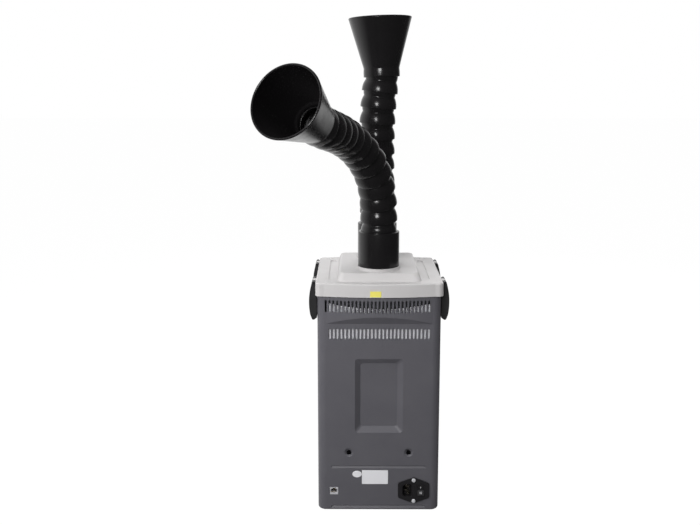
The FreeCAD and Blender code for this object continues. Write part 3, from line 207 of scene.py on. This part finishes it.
nodeFinish = {
    "cabinet_shell": "grainedAbs", "base_plate": "zincSheet", "rubber_feet": "footRubber", "case_screws": "blackScrew",
    "filter_chamber": "zincSheet", "exhaust_fleece": "polyesterFelt", "gas_filter": "fibreBoard",
    "particle_filter_frame": "fibreBoard", "particle_filter_pleats": "glassPaper", "prefilter_mat": "polyesterFelt",
    "fan_plate": "zincSheet", "fan_housing": "fanPolyamide", "fan_impeller": "fanPolyamide", "fan_motor": "motorEnamel",
    "mains_inlet": "inletPolyamide", "inlet_contacts": "nickelBrass", "inlet_screws": "zincScrew",
    "rocker_switch": "inletPolyamide", "interface_socket": "tinShield", "rating_labels": "vinylWhite",
    "control_panel": "panelAbs", "display_window": "smokedAcrylic", "key_minus": "keySilicone",
    "key_plus": "keySilicone", "control_board": "solderMask", "power_supply": "solderMask", "wiring": "leadPvc",
    "lid": "satinAbs", "lid_seals": "sealFoam", "lid_label": "vinylYellow", "latch_pins": "blackScrew",
}
for name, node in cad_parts.items():
    key = nodeFinish.get(name)
    if key is None:
        key = "filledNylon" if name.startswith("latch") else "glossPolypropylene"
    node.data.materials.clear()
    node.data.materials.append(finishes[key])
print("finishes made:", len(finishes))


def startTree(name, inputs):
    tree = bpy.data.node_groups.new(name, "GeometryNodeTree")
    tree.interface.new_socket("Geometry", in_out="INPUT", socket_type="NodeSocketGeometry")
    for label, (kind, value) in inputs.items():
        socket = tree.interface.new_socket(label, in_out="INPUT", socket_type=kind)
        if value is not None:
            socket.default_value = value
    tree.interface.new_socket("Geometry", in_out="OUTPUT", socket_type="NodeSocketGeometry")
    return tree, addNode(tree, "NodeGroupInput").outputs


def endTree(tree, geometry, finish):
    real = addNode(tree, "GeometryNodeRealizeInstances", links={"Geometry": geometry})
    painted = addNode(tree, "GeometryNodeSetMaterial", {"Material": finish}, {"Geometry": real.outputs["Geometry"]})
    addNode(tree, "NodeGroupOutput", links={"Geometry": painted.outputs["Geometry"]})


def newObject(name, mesh):
    item = bpy.data.objects.new(name, mesh)
    scene.collection.objects.link(item)
    return item


def frozen(item, name):
    # plain mesh of the evaluated object, with its modifiers worked in
    bpy.context.view_layer.update()
    done = bpy.data.meshes.new_from_object(item.evaluated_get(bpy.context.evaluated_depsgraph_get()))
    bpy.data.objects.remove(item)
    done.name = name
    return newObject(name, done)


def grow(name, seed, tree, values):
    # runs a node tree on a seed mesh with its named inputs set
    item = newObject(name, seed)
    worker = item.modifiers.new("grow", "NODES")
    worker.node_group = tree
    for socket in tree.interface.items_tree:
        if socket.item_type == "SOCKET" and socket.in_out == "INPUT" and socket.name in values:
            worker[socket.identifier] = values[socket.name]
    return frozen(item, name)


def arcThrough(a, b, c, steps):
    # points of the circle through three points of an outline, the first one left out
    ax, ay, bx, by, cx, cy = *a, *b, *c
    d = 2 * (ax * (by - cy) + bx * (cy - ay) + cx * (ay - by))
    ux = ((ax ** 2 + ay ** 2) * (by - cy) + (bx ** 2 + by ** 2) * (cy - ay) + (cx ** 2 + cy ** 2) * (ay - by)) / d
    uy = ((ax ** 2 + ay ** 2) * (cx - bx) + (bx ** 2 + by ** 2) * (ax - cx) + (cx ** 2 + cy ** 2) * (bx - ax)) / d
    radius = math.hypot(ax - ux, ay - uy)
    first, middle, last = [math.atan2(p[1] - uy, p[0] - ux) for p in (a, b, c)]
    turn = (last - first) % (2 * math.pi)
    if (middle - first) % (2 * math.pi) > turn:
        turn -= 2 * math.pi
    return [(ux + radius * math.cos(first + turn * k / steps), uy + radius * math.sin(first + turn * k / steps))
            for k in range(1, steps + 1)]


def softCorner(before, corner, after, radius, steps=4):
    # rounded corner between two straight directions of an outline
    a, p, b = Vector(before), Vector(corner), Vector(after)
    inward, outward = (a - p).normalized(), (b - p).normalized()
    half = inward.angle(outward) / 2
    run = radius / math.tan(half)
    first, last = p + inward * run, p + outward * run
    centre = p + (inward + outward).normalized() * (radius / math.sin(half))
    middle = centre + (p - centre).normalized() * radius
    return [tuple(first)] + arcThrough(tuple(first), tuple(middle), tuple(last), steps)


def latheSeed(name, outline):
    # closed outline of radius and height in millimetres, as the edge loop that the lathe tree turns
    seed = bpy.data.meshes.new(name)
    points = [((r * mm) - 1, -z * mm, 0) for r, z in reversed(outline)]
    seed.from_pydata(points, [(i, (i + 1) % len(points)) for i in range(len(points))], [])
    return seed


def latheTree(finish):
    tree, given = startTree("turned from outline", {"Around": ("NodeSocketInt", 96), "At": ("NodeSocketVector", None),
                            "Along": ("NodeSocketVector", (0, 0, 1))})
    outline = addNode(tree, "GeometryNodeMeshToCurve", links={"Mesh": given["Geometry"]})
    circle = addNode(tree, "GeometryNodeCurvePrimitiveCircle", {"Radius": 1.0}, {"Resolution": given["Around"]})
    turned = addNode(tree, "GeometryNodeCurveToMesh", links={"Curve": circle.outputs["Curve"],
                     "Profile Curve": outline.outputs["Curve"]})
    smooth = addNode(tree, "GeometryNodeSetShadeSmooth", links={"Geometry": turned.outputs["Mesh"]})
    aim = addNode(tree, "FunctionNodeAlignRotationToVector", links={"Vector": given["Along"]}, axis="Z")
    placed = addNode(tree, "GeometryNodeTransform", links={"Geometry": smooth.outputs["Geometry"],
                     "Translation": given["At"], "Rotation": aim.outputs["Rotation"]})
    endTree(tree, placed.outputs["Geometry"], finish)
    return tree


# Suction arms: each link is a socket below and a ball above, and the last one carries the funnel.
hoseLink = dict(pitch=28.6, ball=30.3, socket=30.6, bore=25.0, skirt=33.6, skirtDrop=2.0, shoulder=(32.9, 8.6),
                waistDrop=9.3, lip=27.0, rimRound=0.7, lipShare=0.7, boreShare=0.6, mouthShare=0.35, around=112)
hoseSleeve = dict(radius=37.4, wall=3.2, bottom=424.0, top=510.0, chamfer=1.2, footRound=0.8, neck=31.9,
                  ballRise=22.0, around=128)
hoseFunnel = dict(neck=(33.2, 14.0), swell=0.3, swellDrop=1, coneRound=9.0, mouth=58.0, length=106.0, lip=3.0,
                  wall=2.6, throat=(30.6, 22.8), throatRound=6.0, around=144)
armBases = {"near": -48.0, "far": 48.0}
armPoses = {   # degrees of lean to the left and toward the rear, for each link and the funnel
    "near": [(2, 8), (7, 16), (14, 24), (23, 30), (32, 36), (40, 44), (48, 52), (53, 61), (58, 67), (60, 69),
             (58, 65), (49, 56)],
    "far": [(1, 0), (1, 2), (1, 4), (0, 6), (0, 7), (-1, 6), (-3, 4), (-5, 2), (-7, 0), (2, 0)],
}


def ballOutline(centre):
    link = hoseLink
    waist = (math.sqrt(link["ball"] ** 2 - link["waistDrop"] ** 2), centre - link["waistDrop"])
    lipRise = math.sqrt(link["ball"] ** 2 - link["lip"] ** 2)
    lip = (link["lip"], centre + lipRise)
    crown = arcThrough(waist, (link["ball"], centre), lip, 16)
    boreTop, downBore = (link["bore"], lip[1]), (link["bore"], lip[1] - 5)   # the second only gives a direction
    edge = softCorner(crown[-2], lip, boreTop, link["rimRound"] * link["lipShare"])
    inner = softCorner(lip, boreTop, downBore, link["rimRound"] * link["boreShare"])
    return waist, crown[:-2] + edge + inner


def socketOutline():
    link = hoseLink
    rise = math.sqrt(link["socket"] ** 2 - link["bore"] ** 2)
    rim = (math.sqrt(link["socket"] ** 2 - link["skirtDrop"] ** 2), -link["skirtDrop"])
    inner = (math.sqrt(link["socket"] ** 2 - (rise / 2) ** 2), rise / 2)
    curve = [(link["bore"], rise)] + arcThrough((link["bore"], rise), inner, rim, 12)
    skirt, upSkirt = (link["skirt"], -link["skirtDrop"]), (link["skirt"], 4.0)   # the second only gives a direction
    mouth = softCorner(curve[-2], rim, skirt, link["rimRound"] * link["mouthShare"])
    return curve[:-1], mouth + softCorner(rim, skirt, upSkirt, link["rimRound"])


def linkOutline():
    waist, ball = ballOutline(hoseLink["pitch"])
    socket, rim = socketOutline()
    side = arcThrough(rim[-1], hoseLink["shoulder"], waist, 18)
    return rim + side + ball + socket


def funnelOutline():
    f = hoseFunnel
    socket, rim = socketOutline()
    lipZ = f["length"] - f["lip"]
    outer, inner = (f["mouth"], lipZ), (f["mouth"] - f["wall"], lipZ)
    swell = ((hoseLink["skirt"] + f["neck"][0]) / 2 + f["swell"], f["neck"][1] / 2 - f["swellDrop"])
    side = arcThrough(rim[-1], swell, f["neck"], 8)
    cone = softCorner(side[-2], f["neck"], outer, f["coneRound"], 6)
    lip = arcThrough(outer, (f["mouth"] - f["wall"] / 2, f["length"]), inner, 8)
    throat = softCorner(inner, f["throat"], socket[0], f["throatRound"], 5)
    return rim + side[:-2] + cone + [outer] + lip + throat + socket


def sleeveOutline():
    s = hoseSleeve
    waist, ball = ballOutline(s["top"] + s["ballRise"])
    inside = s["radius"] - s["wall"]
    neck = (s["neck"], s["top"])
    bulge = ((s["neck"] + waist[0]) / 2 + s["chamfer"], (s["top"] + waist[1]) / 2)
    downSide = (s["radius"], s["top"] - 20)   # only gives a direction
    rim = softCorner(downSide, (s["radius"], s["top"]), neck, s["chamfer"], 6)
    foot = softCorner((inside, s["bottom"]), (s["radius"], s["bottom"]), (s["radius"], s["top"]), s["footRound"])
    bore = [(hoseLink["bore"], waist[1]), (inside, s["top"] - s["wall"])]
    return [(inside, s["bottom"])] + foot + rim + [neck] + arcThrough(neck, bulge, waist, 10) + ball + bore


def linkFrames(arm):
    at = Vector((0, armBases[arm], hoseSleeve["top"] + hoseSleeve["ballRise"]))
    frames = []
    for lean, toward in armPoses[arm]:
        a, b = math.radians(lean), math.radians(toward)
        along = Vector((-math.sin(a) * math.cos(b), -math.sin(b), math.cos(a) * math.cos(b)))
        frames.append((at.copy(), along))
        at += along * hoseLink["pitch"]
    return frames


def fitPiece(piece, body, slot, *nodes):
    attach(piece, body)
    if nodes:
        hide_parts(*nodes)


turner = latheTree(finishes["glossPolypropylene"])
for arm in ("near", "far"):
    sleeveBase = Vector((0, armBases[arm], 0)) * mm
    tube = grow(arm + "Sleeve", latheSeed("sleeveOutline", sleeveOutline()), turner,
                {"Around": hoseSleeve["around"], "At": sleeveBase, "Along": (0.0, 0.0, 1.0)})
    fitPiece(tube, arm + "_sleeve", "arm_plastic", arm + "_sleeve")
    frames = linkFrames(arm)
    for number, (at, along) in enumerate(frames[:-1], 1):
        node = "%s_segment_%02d" % (arm, number)
        link = grow("%sLink%02d" % (arm, number), latheSeed("linkOutline", linkOutline()), turner,
                    {"Around": hoseLink["around"], "At": at * mm, "Along": along})
        fitPiece(link, node, "arm_plastic", node)
    at, along = frames[-1]
    cone = grow(arm + "Funnel", latheSeed("funnelOutline", funnelOutline()), turner,
                {"Around": hoseFunnel["around"], "At": at * mm, "Along": along})
    fitPiece(cone, arm + "_funnel", "arm_plastic", arm + "_funnel")
print("arms made")


# Filter mats: cut from lofted fleece, so their faces are uneven and their edges a little frayed.
rearMat = dict(left=-89.0, right=94.5, bottom=318.0, top=389.5, sag=10.0, rear=-107.0, thick=6.0, fluff=0.35,
               step=2.4)
preMat = dict(halfWidth=99.8, rear=-83.8, front=93.8, bottom=336.0, thick=16.0, fluff=0.45, step=4.5)
tufts = [(0.21, 0.6), (0.9, 0.4)]   # waves per millimetre and share, broad tufts first


def matSheet(name, across, along, place, fluff, finish):
    # closed block of two uneven sheets over a grid, with place(u, v, side) giving each sheet's points
    points = []
    for side in (0, 1):
        for j in range(along + 1):
            for i in range(across + 1):
                spot = place(i / across, j / along, side)
                rough = sum(noise.noise(spot * wave) * share for wave, share in tufts)
                points.append((spot, side, fluff * (0.5 + 0.5 * rough)))
    row, sheet = across + 1, (across + 1) * (along + 1)
    faces = []
    for j in range(along):
        for i in range(across):
            a = j * row + i
            faces.append((a, a + 1, a + 1 + row, a + row))
            faces.append((sheet + a, sheet + a + row, sheet + a + 1 + row, sheet + a + 1))
    rim = [i for i in range(across)] + [j * row + across for j in range(along)]
    rim += [along * row + i for i in range(across, 0, -1)] + [j * row for j in range(along, 0, -1)]
    for a, b in zip(rim, rim[1:] + rim[:1]):
        faces.append((a, sheet + a, sheet + b, b))
    mesh = bpy.data.meshes.new(name)
    inward = [place(0.5, 0.5, 1 - side) - place(0.5, 0.5, side) for side in (0, 1)]
    mesh.from_pydata([(spot + inward[side].normalized() * dent) * mm for spot, side, dent in points], [], faces)
    mesh.polygons.foreach_set("use_smooth", [True] * len(mesh.polygons))
    mesh.materials.append(finish)
    return newObject(name, mesh)


def rearMatPlace(u, v, side):
    m = rearMat
    x = m["left"] + (m["right"] - m["left"]) * u
    high = m["top"] - m["sag"] * (1 - (2 * u - 1) ** 2)
    return Vector((x, m["rear"] + m["thick"] * side, m["bottom"] + (high - m["bottom"]) * v))


def preMatPlace(u, v, side):
    m = preMat
    x = -m["halfWidth"] + 2 * m["halfWidth"] * u
    return Vector((x, m["front"] + (m["rear"] - m["front"]) * v, m["bottom"] + m["thick"] * side))


def matCounts(width, height, step):
    return int(width / step), int(height / step)


across, along = matCounts(rearMat["right"] - rearMat["left"], rearMat["top"] - rearMat["bottom"], rearMat["step"])
fleece = matSheet("rearFleece", across, along, rearMatPlace, rearMat["fluff"], finishes["polyesterFelt"])
fitPiece(fleece, "cabinet", "fleece", "exhaust_fleece")
across, along = matCounts(2 * preMat["halfWidth"], preMat["front"] - preMat["rear"], preMat["step"])
mat = matSheet("prefilterFleece", across, along, preMatPlace, preMat["fluff"], finishes["polyesterFelt"])
fitPiece(mat, "cabinet", "fleece", "prefilter_mat")
print("mats made")


# Signs: thin printed shapes on the rocker and the two keys, the usual on, off, less and more.
rocker = dict(x=77.0, level=41.0, pivotY=-108.4, dipY=-111.6, edgeY=-114.0, half=9.5, rest=-9.0, bar=(0.5, 1.6),
              ring=(1.3, 1.9), lift=0.12)
keySign = dict(level=300.0, face=115.5, bar=(2.1, 0.4), lift=0.1, places={"key_minus": 14.0, "key_plus": 35.0})


def printedShape(name, outer, inner, matrix, lift, finish):
    # flat shape between an outer and an optional inner outline, raised by the lift and set in place
    rims = [outer] + ([inner] if inner else [])
    mesh = bmesh.new()
    loops = []
    for height in (0, lift):
        for rim in rims:
            loops.append([mesh.verts.new((u * mm, v * mm, height * mm)) for u, v in rim])
    count = len(outer)
    pairs = [(0, 1), (len(rims), len(rims) + 1)] if inner else []
    for a, b in pairs:
        for k in range(count):
            mesh.faces.new((loops[a][k], loops[a][(k + 1) % count], loops[b][(k + 1) % count], loops[b][k]))
    if not inner:
        mesh.faces.new(loops[0])
        mesh.faces.new(loops[1])
    for r in range(len(rims)):
        low, high = loops[r], loops[r + len(rims)]
        for k in range(count):
            mesh.faces.new((low[k], low[(k + 1) % count], high[(k + 1) % count], high[k]))
    bmesh.ops.recalc_face_normals(mesh, faces=mesh.faces)
    bmesh.ops.transform(mesh, matrix=matrix, verts=mesh.verts)
    data = bpy.data.meshes.new(name)
    mesh.to_mesh(data)
    mesh.free()
    data.materials.append(finish)
    return newObject(name, data)


def barOutline(halfWide, halfTall):
    return [(-halfWide, -halfTall), (halfWide, -halfTall), (halfWide, halfTall), (-halfWide, halfTall)]


def ringOutline(radius, steps=32):
    turns = [2 * math.pi * k / steps for k in range(steps)]
    return [(radius * math.cos(turn), radius * math.sin(turn)) for turn in turns]


def facing(origin, across, upward):
    # matrix whose X and Y lie in a face and whose Z leaves it
    x, y = Vector(across).normalized(), Vector(upward).normalized()
    z = x.cross(y)
    turn = Matrix((x, y, z)).transposed().to_4x4()
    return Matrix.Translation(Vector(origin) * mm) @ turn


def rockerFace(sign):
    # middle of the upper or lower half of the rocker, at its rest angle
    r = rocker
    hinge = Vector((r["x"], r["pivotY"], r["level"]))
    turn = Matrix.Rotation(math.radians(r["rest"]), 3, "X")
    middle = Vector((r["x"], (r["dipY"] + r["edgeY"]) / 2, r["level"] + sign * r["half"] / 2))
    upward = Vector((0, sign * (r["edgeY"] - r["dipY"]), r["half"]))
    return facing(hinge + turn @ (middle - hinge), (1, 0, 0), turn @ upward)


innerRing, outerRing = [ringOutline(radius) for radius in rocker["ring"]]
onSign = printedShape("rockerOnSign", barOutline(*rocker["bar"]), None, rockerFace(1), rocker["lift"],
                      finishes["markPaint"])
offSign = printedShape("rockerOffSign", outerRing, innerRing, rockerFace(-1), rocker["lift"], finishes["markPaint"])
fitPiece(onSign, "rocker_switch", "label_white")
fitPiece(offSign, "rocker_switch", "label_white")
for node, x in keySign["places"].items():
    spot = facing((x, keySign["face"], keySign["level"]), (-1, 0, 0), (0, 0, 1))
    piece = "key" + node.split("_")[1].capitalize()
    bar = printedShape(piece + "Bar", barOutline(*keySign["bar"]), None, spot, keySign["lift"],
                       finishes["blackScrew"])
    fitPiece(bar, node, "label_white")
    if node == "key_plus":
        post = printedShape(piece + "Post", barOutline(*reversed(keySign["bar"])), None, spot, keySign["lift"],
                            finishes["blackScrew"])
        fitPiece(post, node, "label_white")
print("signs made")


# Interface socket: eight sprung wires slant back from the mouth's lower edge to a dark plate at the rear, which paints
# its shade.
socketWires = dict(x=-80.9, level=39.2, spacing=1.02, count=8, wire=0.22, low=-2.9, high=1.6, front=-107.5,
                   back=-99.2, footRun=1.2, footRise=0.3)
# size and place of the thin dark plate that paints the shade deep in the socket's mouth
socketShadePlate = dict(half=(5.7, 4.2), thick=0.4, behind=0.5, above=0.8)


def wireTree(finish):
    tree, given = startTree("row of wires", {"Count": ("NodeSocketInt", 8), "Step": ("NodeSocketFloat", 0.001),
                            "Wire": ("NodeSocketFloat", 0.0002)})
    shift = addNode(tree, "ShaderNodeCombineXYZ", links={"X": given["Step"]})
    row = addNode(tree, "GeometryNodeMeshLine", links={"Count": given["Count"], "Offset": shift.outputs["Vector"]})
    run = addNode(tree, "GeometryNodeMeshToCurve", links={"Mesh": given["Geometry"]})
    ring = addNode(tree, "GeometryNodeCurvePrimitiveCircle", {"Resolution": 10}, {"Radius": given["Wire"]})
    wire = addNode(tree, "GeometryNodeCurveToMesh", {"Fill Caps": True}, {"Curve": run.outputs["Curve"],
                   "Profile Curve": ring.outputs["Curve"]})
    wires = addNode(tree, "GeometryNodeInstanceOnPoints", links={"Points": row.outputs["Mesh"],
                    "Instance": wire.outputs["Mesh"]})
    endTree(tree, wires.outputs["Instances"], finish)
    return tree


w = socketWires
firstX = w["x"] - w["spacing"] * (w["count"] - 1) / 2
bend = [(firstX, w["front"], w["level"] + w["low"]),
        (firstX, w["front"] + w["footRun"], w["level"] + w["low"] + w["footRise"]),
        (firstX, w["back"], w["level"] + w["high"])]
seed = bpy.data.meshes.new("wireRun")
seed.from_pydata([Vector(p) * mm for p in bend], [(0, 1), (1, 2)], [])
wires = grow("socketWires", seed, wireTree(finishes["goldContact"]),
             {"Count": w["count"], "Step": w["spacing"] * mm, "Wire": w["wire"] * mm})
fitPiece(wires, "cabinet", "contact_metal")
# painted shade: a thin dark plate at the rear of the socket's mouth, where the deep opening lies in shadow
spot = facing((w["x"], w["back"] + socketShadePlate["behind"], w["level"] + socketShadePlate["above"]), (1, 0, 0), (0, 0, 1))
shadePlate = printedShape("socketShadePlate", barOutline(*socketShadePlate["half"]), None, spot, socketShadePlate["thick"],
                     finishes["socketMouthShade"])
fitPiece(shadePlate, "cabinet", "socket_plastic")
print("socket wires made")


# Studio: white ground and backdrop, a tall soft lamp on the left, a small round one by the camera that the gloss
# shows, a broad one above, and fills for the right and the far side.
studio = dict(floorTone="8C8C8C", ambient=0.12, frontGloss=0.05, floorSize=40.0, groundGlow=0.9,
              groundLevel=1.1, backdropWay=(-0.6, 0.8, 0.0), backdropSpan=(0.1, 0.75))
lamps = {
    "leftStrip": dict(at=(-0.75, -0.8, 0.7), aim=(0.0, -0.05, 0.3), size=(0.3, 0.9), shape="RECTANGLE", power=7.0,
                      mirrored=False),
    "cameraLamp": dict(at=(-0.45, -1.95, 1.15), aim=(0, 0, 0.5), size=(0.6, 0.6), shape="ELLIPSE", power=17.5,
                       mirrored=True),
    "topSoft": dict(at=(-0.35, -0.4, 2.3), aim=(0, 0, 0.4), size=(1.2, 0.8), shape="RECTANGLE", power=27,
                    mirrored=False),
    "rightFill": dict(at=(1.7, 0.3, 0.9), aim=(0, 0, 0.4), size=(0.8, 1.2), shape="RECTANGLE", power=10,
                      mirrored=False),
    "farFill": dict(at=(0.3, 1.9, 1.2), aim=(0, 0, 0.4), size=(0.9, 0.9), shape="RECTANGLE", power=17,
                    mirrored=False),
}


def aimed(item, at, aim):
    item.location = at
    item.rotation_euler = (Vector(aim) - Vector(at)).to_track_quat("-Z", "Y").to_euler()


for name, lamp in lamps.items():
    light = bpy.data.lights.new(name, "AREA")
    light.shape = lamp["shape"]
    light.size, light.size_y = lamp["size"]
    light.energy = lamp["power"]
    item = bpy.data.objects.new(name, light)
    scene.collection.objects.link(item)
    item.visible_glossy = lamp["mirrored"]
    aimed(item, lamp["at"], lamp["aim"])

world = bpy.data.worlds.new("white studio")
scene.world = world
world.use_nodes = True
sky = world.node_tree
sky.nodes.clear()
ray = addNode(sky, "ShaderNodeLightPath").outputs
toward = addNode(sky, "ShaderNodeVectorMath", {1: studio["backdropWay"]},
                 {0: addNode(sky, "ShaderNodeTexCoord").outputs["Generated"]}, operation="DOT_PRODUCT")
spanStart, spanEnd = studio["backdropSpan"]
backdrop = addNode(sky, "ShaderNodeMapRange", {"From Min": spanStart, "From Max": spanEnd,
                   "To Min": studio["frontGloss"], "To Max": 1.0}, {"Value": toward.outputs["Value"]})
mirrored = addNode(sky, "ShaderNodeMix", {"A": studio["ambient"]}, {"Factor": ray["Is Glossy Ray"],
                   "B": backdrop.outputs["Result"]})
level = addNode(sky, "ShaderNodeMix", {"B": 1.0}, {"Factor": ray["Is Camera Ray"], "A": mirrored.outputs["Result"]})
shine = addNode(sky, "ShaderNodeBackground", {"Color": (1, 1, 1, 1)}, {"Strength": level.outputs["Result"]})
addNode(sky, "ShaderNodeOutputWorld", links={"Surface": shine.outputs["Background"]})

floorMesh = bpy.data.meshes.new("floor")
half = studio["floorSize"] / 2
floorMesh.from_pydata([(-half, -half, 0), (half, -half, 0), (half, half, 0), (-half, half, 0)], [], [(0, 1, 2, 3)])
floor = newObject("floor", floorMesh)
paper = bpy.data.materials.new("matt paper ground")
paper.use_nodes = True
tree = paper.node_tree
tree.nodes.clear()
matt = addNode(tree, "ShaderNodeBsdfDiffuse", {"Color": hexColor(studio["floorTone"])})
glow = addNode(tree, "ShaderNodeEmission", {"Color": (1, 1, 1, 1), "Strength": studio["groundLevel"]})
part = addNode(tree, "ShaderNodeMath", {1: studio["groundGlow"]},
               {0: addNode(tree, "ShaderNodeLightPath").outputs["Is Camera Ray"]}, operation="MULTIPLY")
ground = addNode(tree, "ShaderNodeMixShader", links={0: part.outputs[0], 1: matt.outputs["BSDF"],
                 2: glow.outputs["Emission"]})
addNode(tree, "ShaderNodeOutputMaterial", links={"Surface": ground.outputs["Shader"]})
floorMesh.materials.append(paper)
floor.visible_glossy = False   # gloss shows the backdrop, not the grey of the ground

view = dict(eye=(-0.0446, -1.526, 0.766), pitch=8.73, yaw=-0.29, lens=42.53, sensor=36.0, shiftY=-0.0679)
camera = bpy.data.objects.new("camera", bpy.data.cameras.new("camera"))
scene.collection.objects.link(camera)
camera.location = view["eye"]
camera.rotation_euler = (math.radians(90 - view["pitch"]), 0, math.radians(-view["yaw"]))
camera.data.lens = view["lens"]
camera.data.sensor_width = view["sensor"]
camera.data.shift_y = view["shiftY"]
scene.camera = camera
scene.view_settings.view_transform = "Standard"
print("studio set")

bpy.context.view_layer.update()
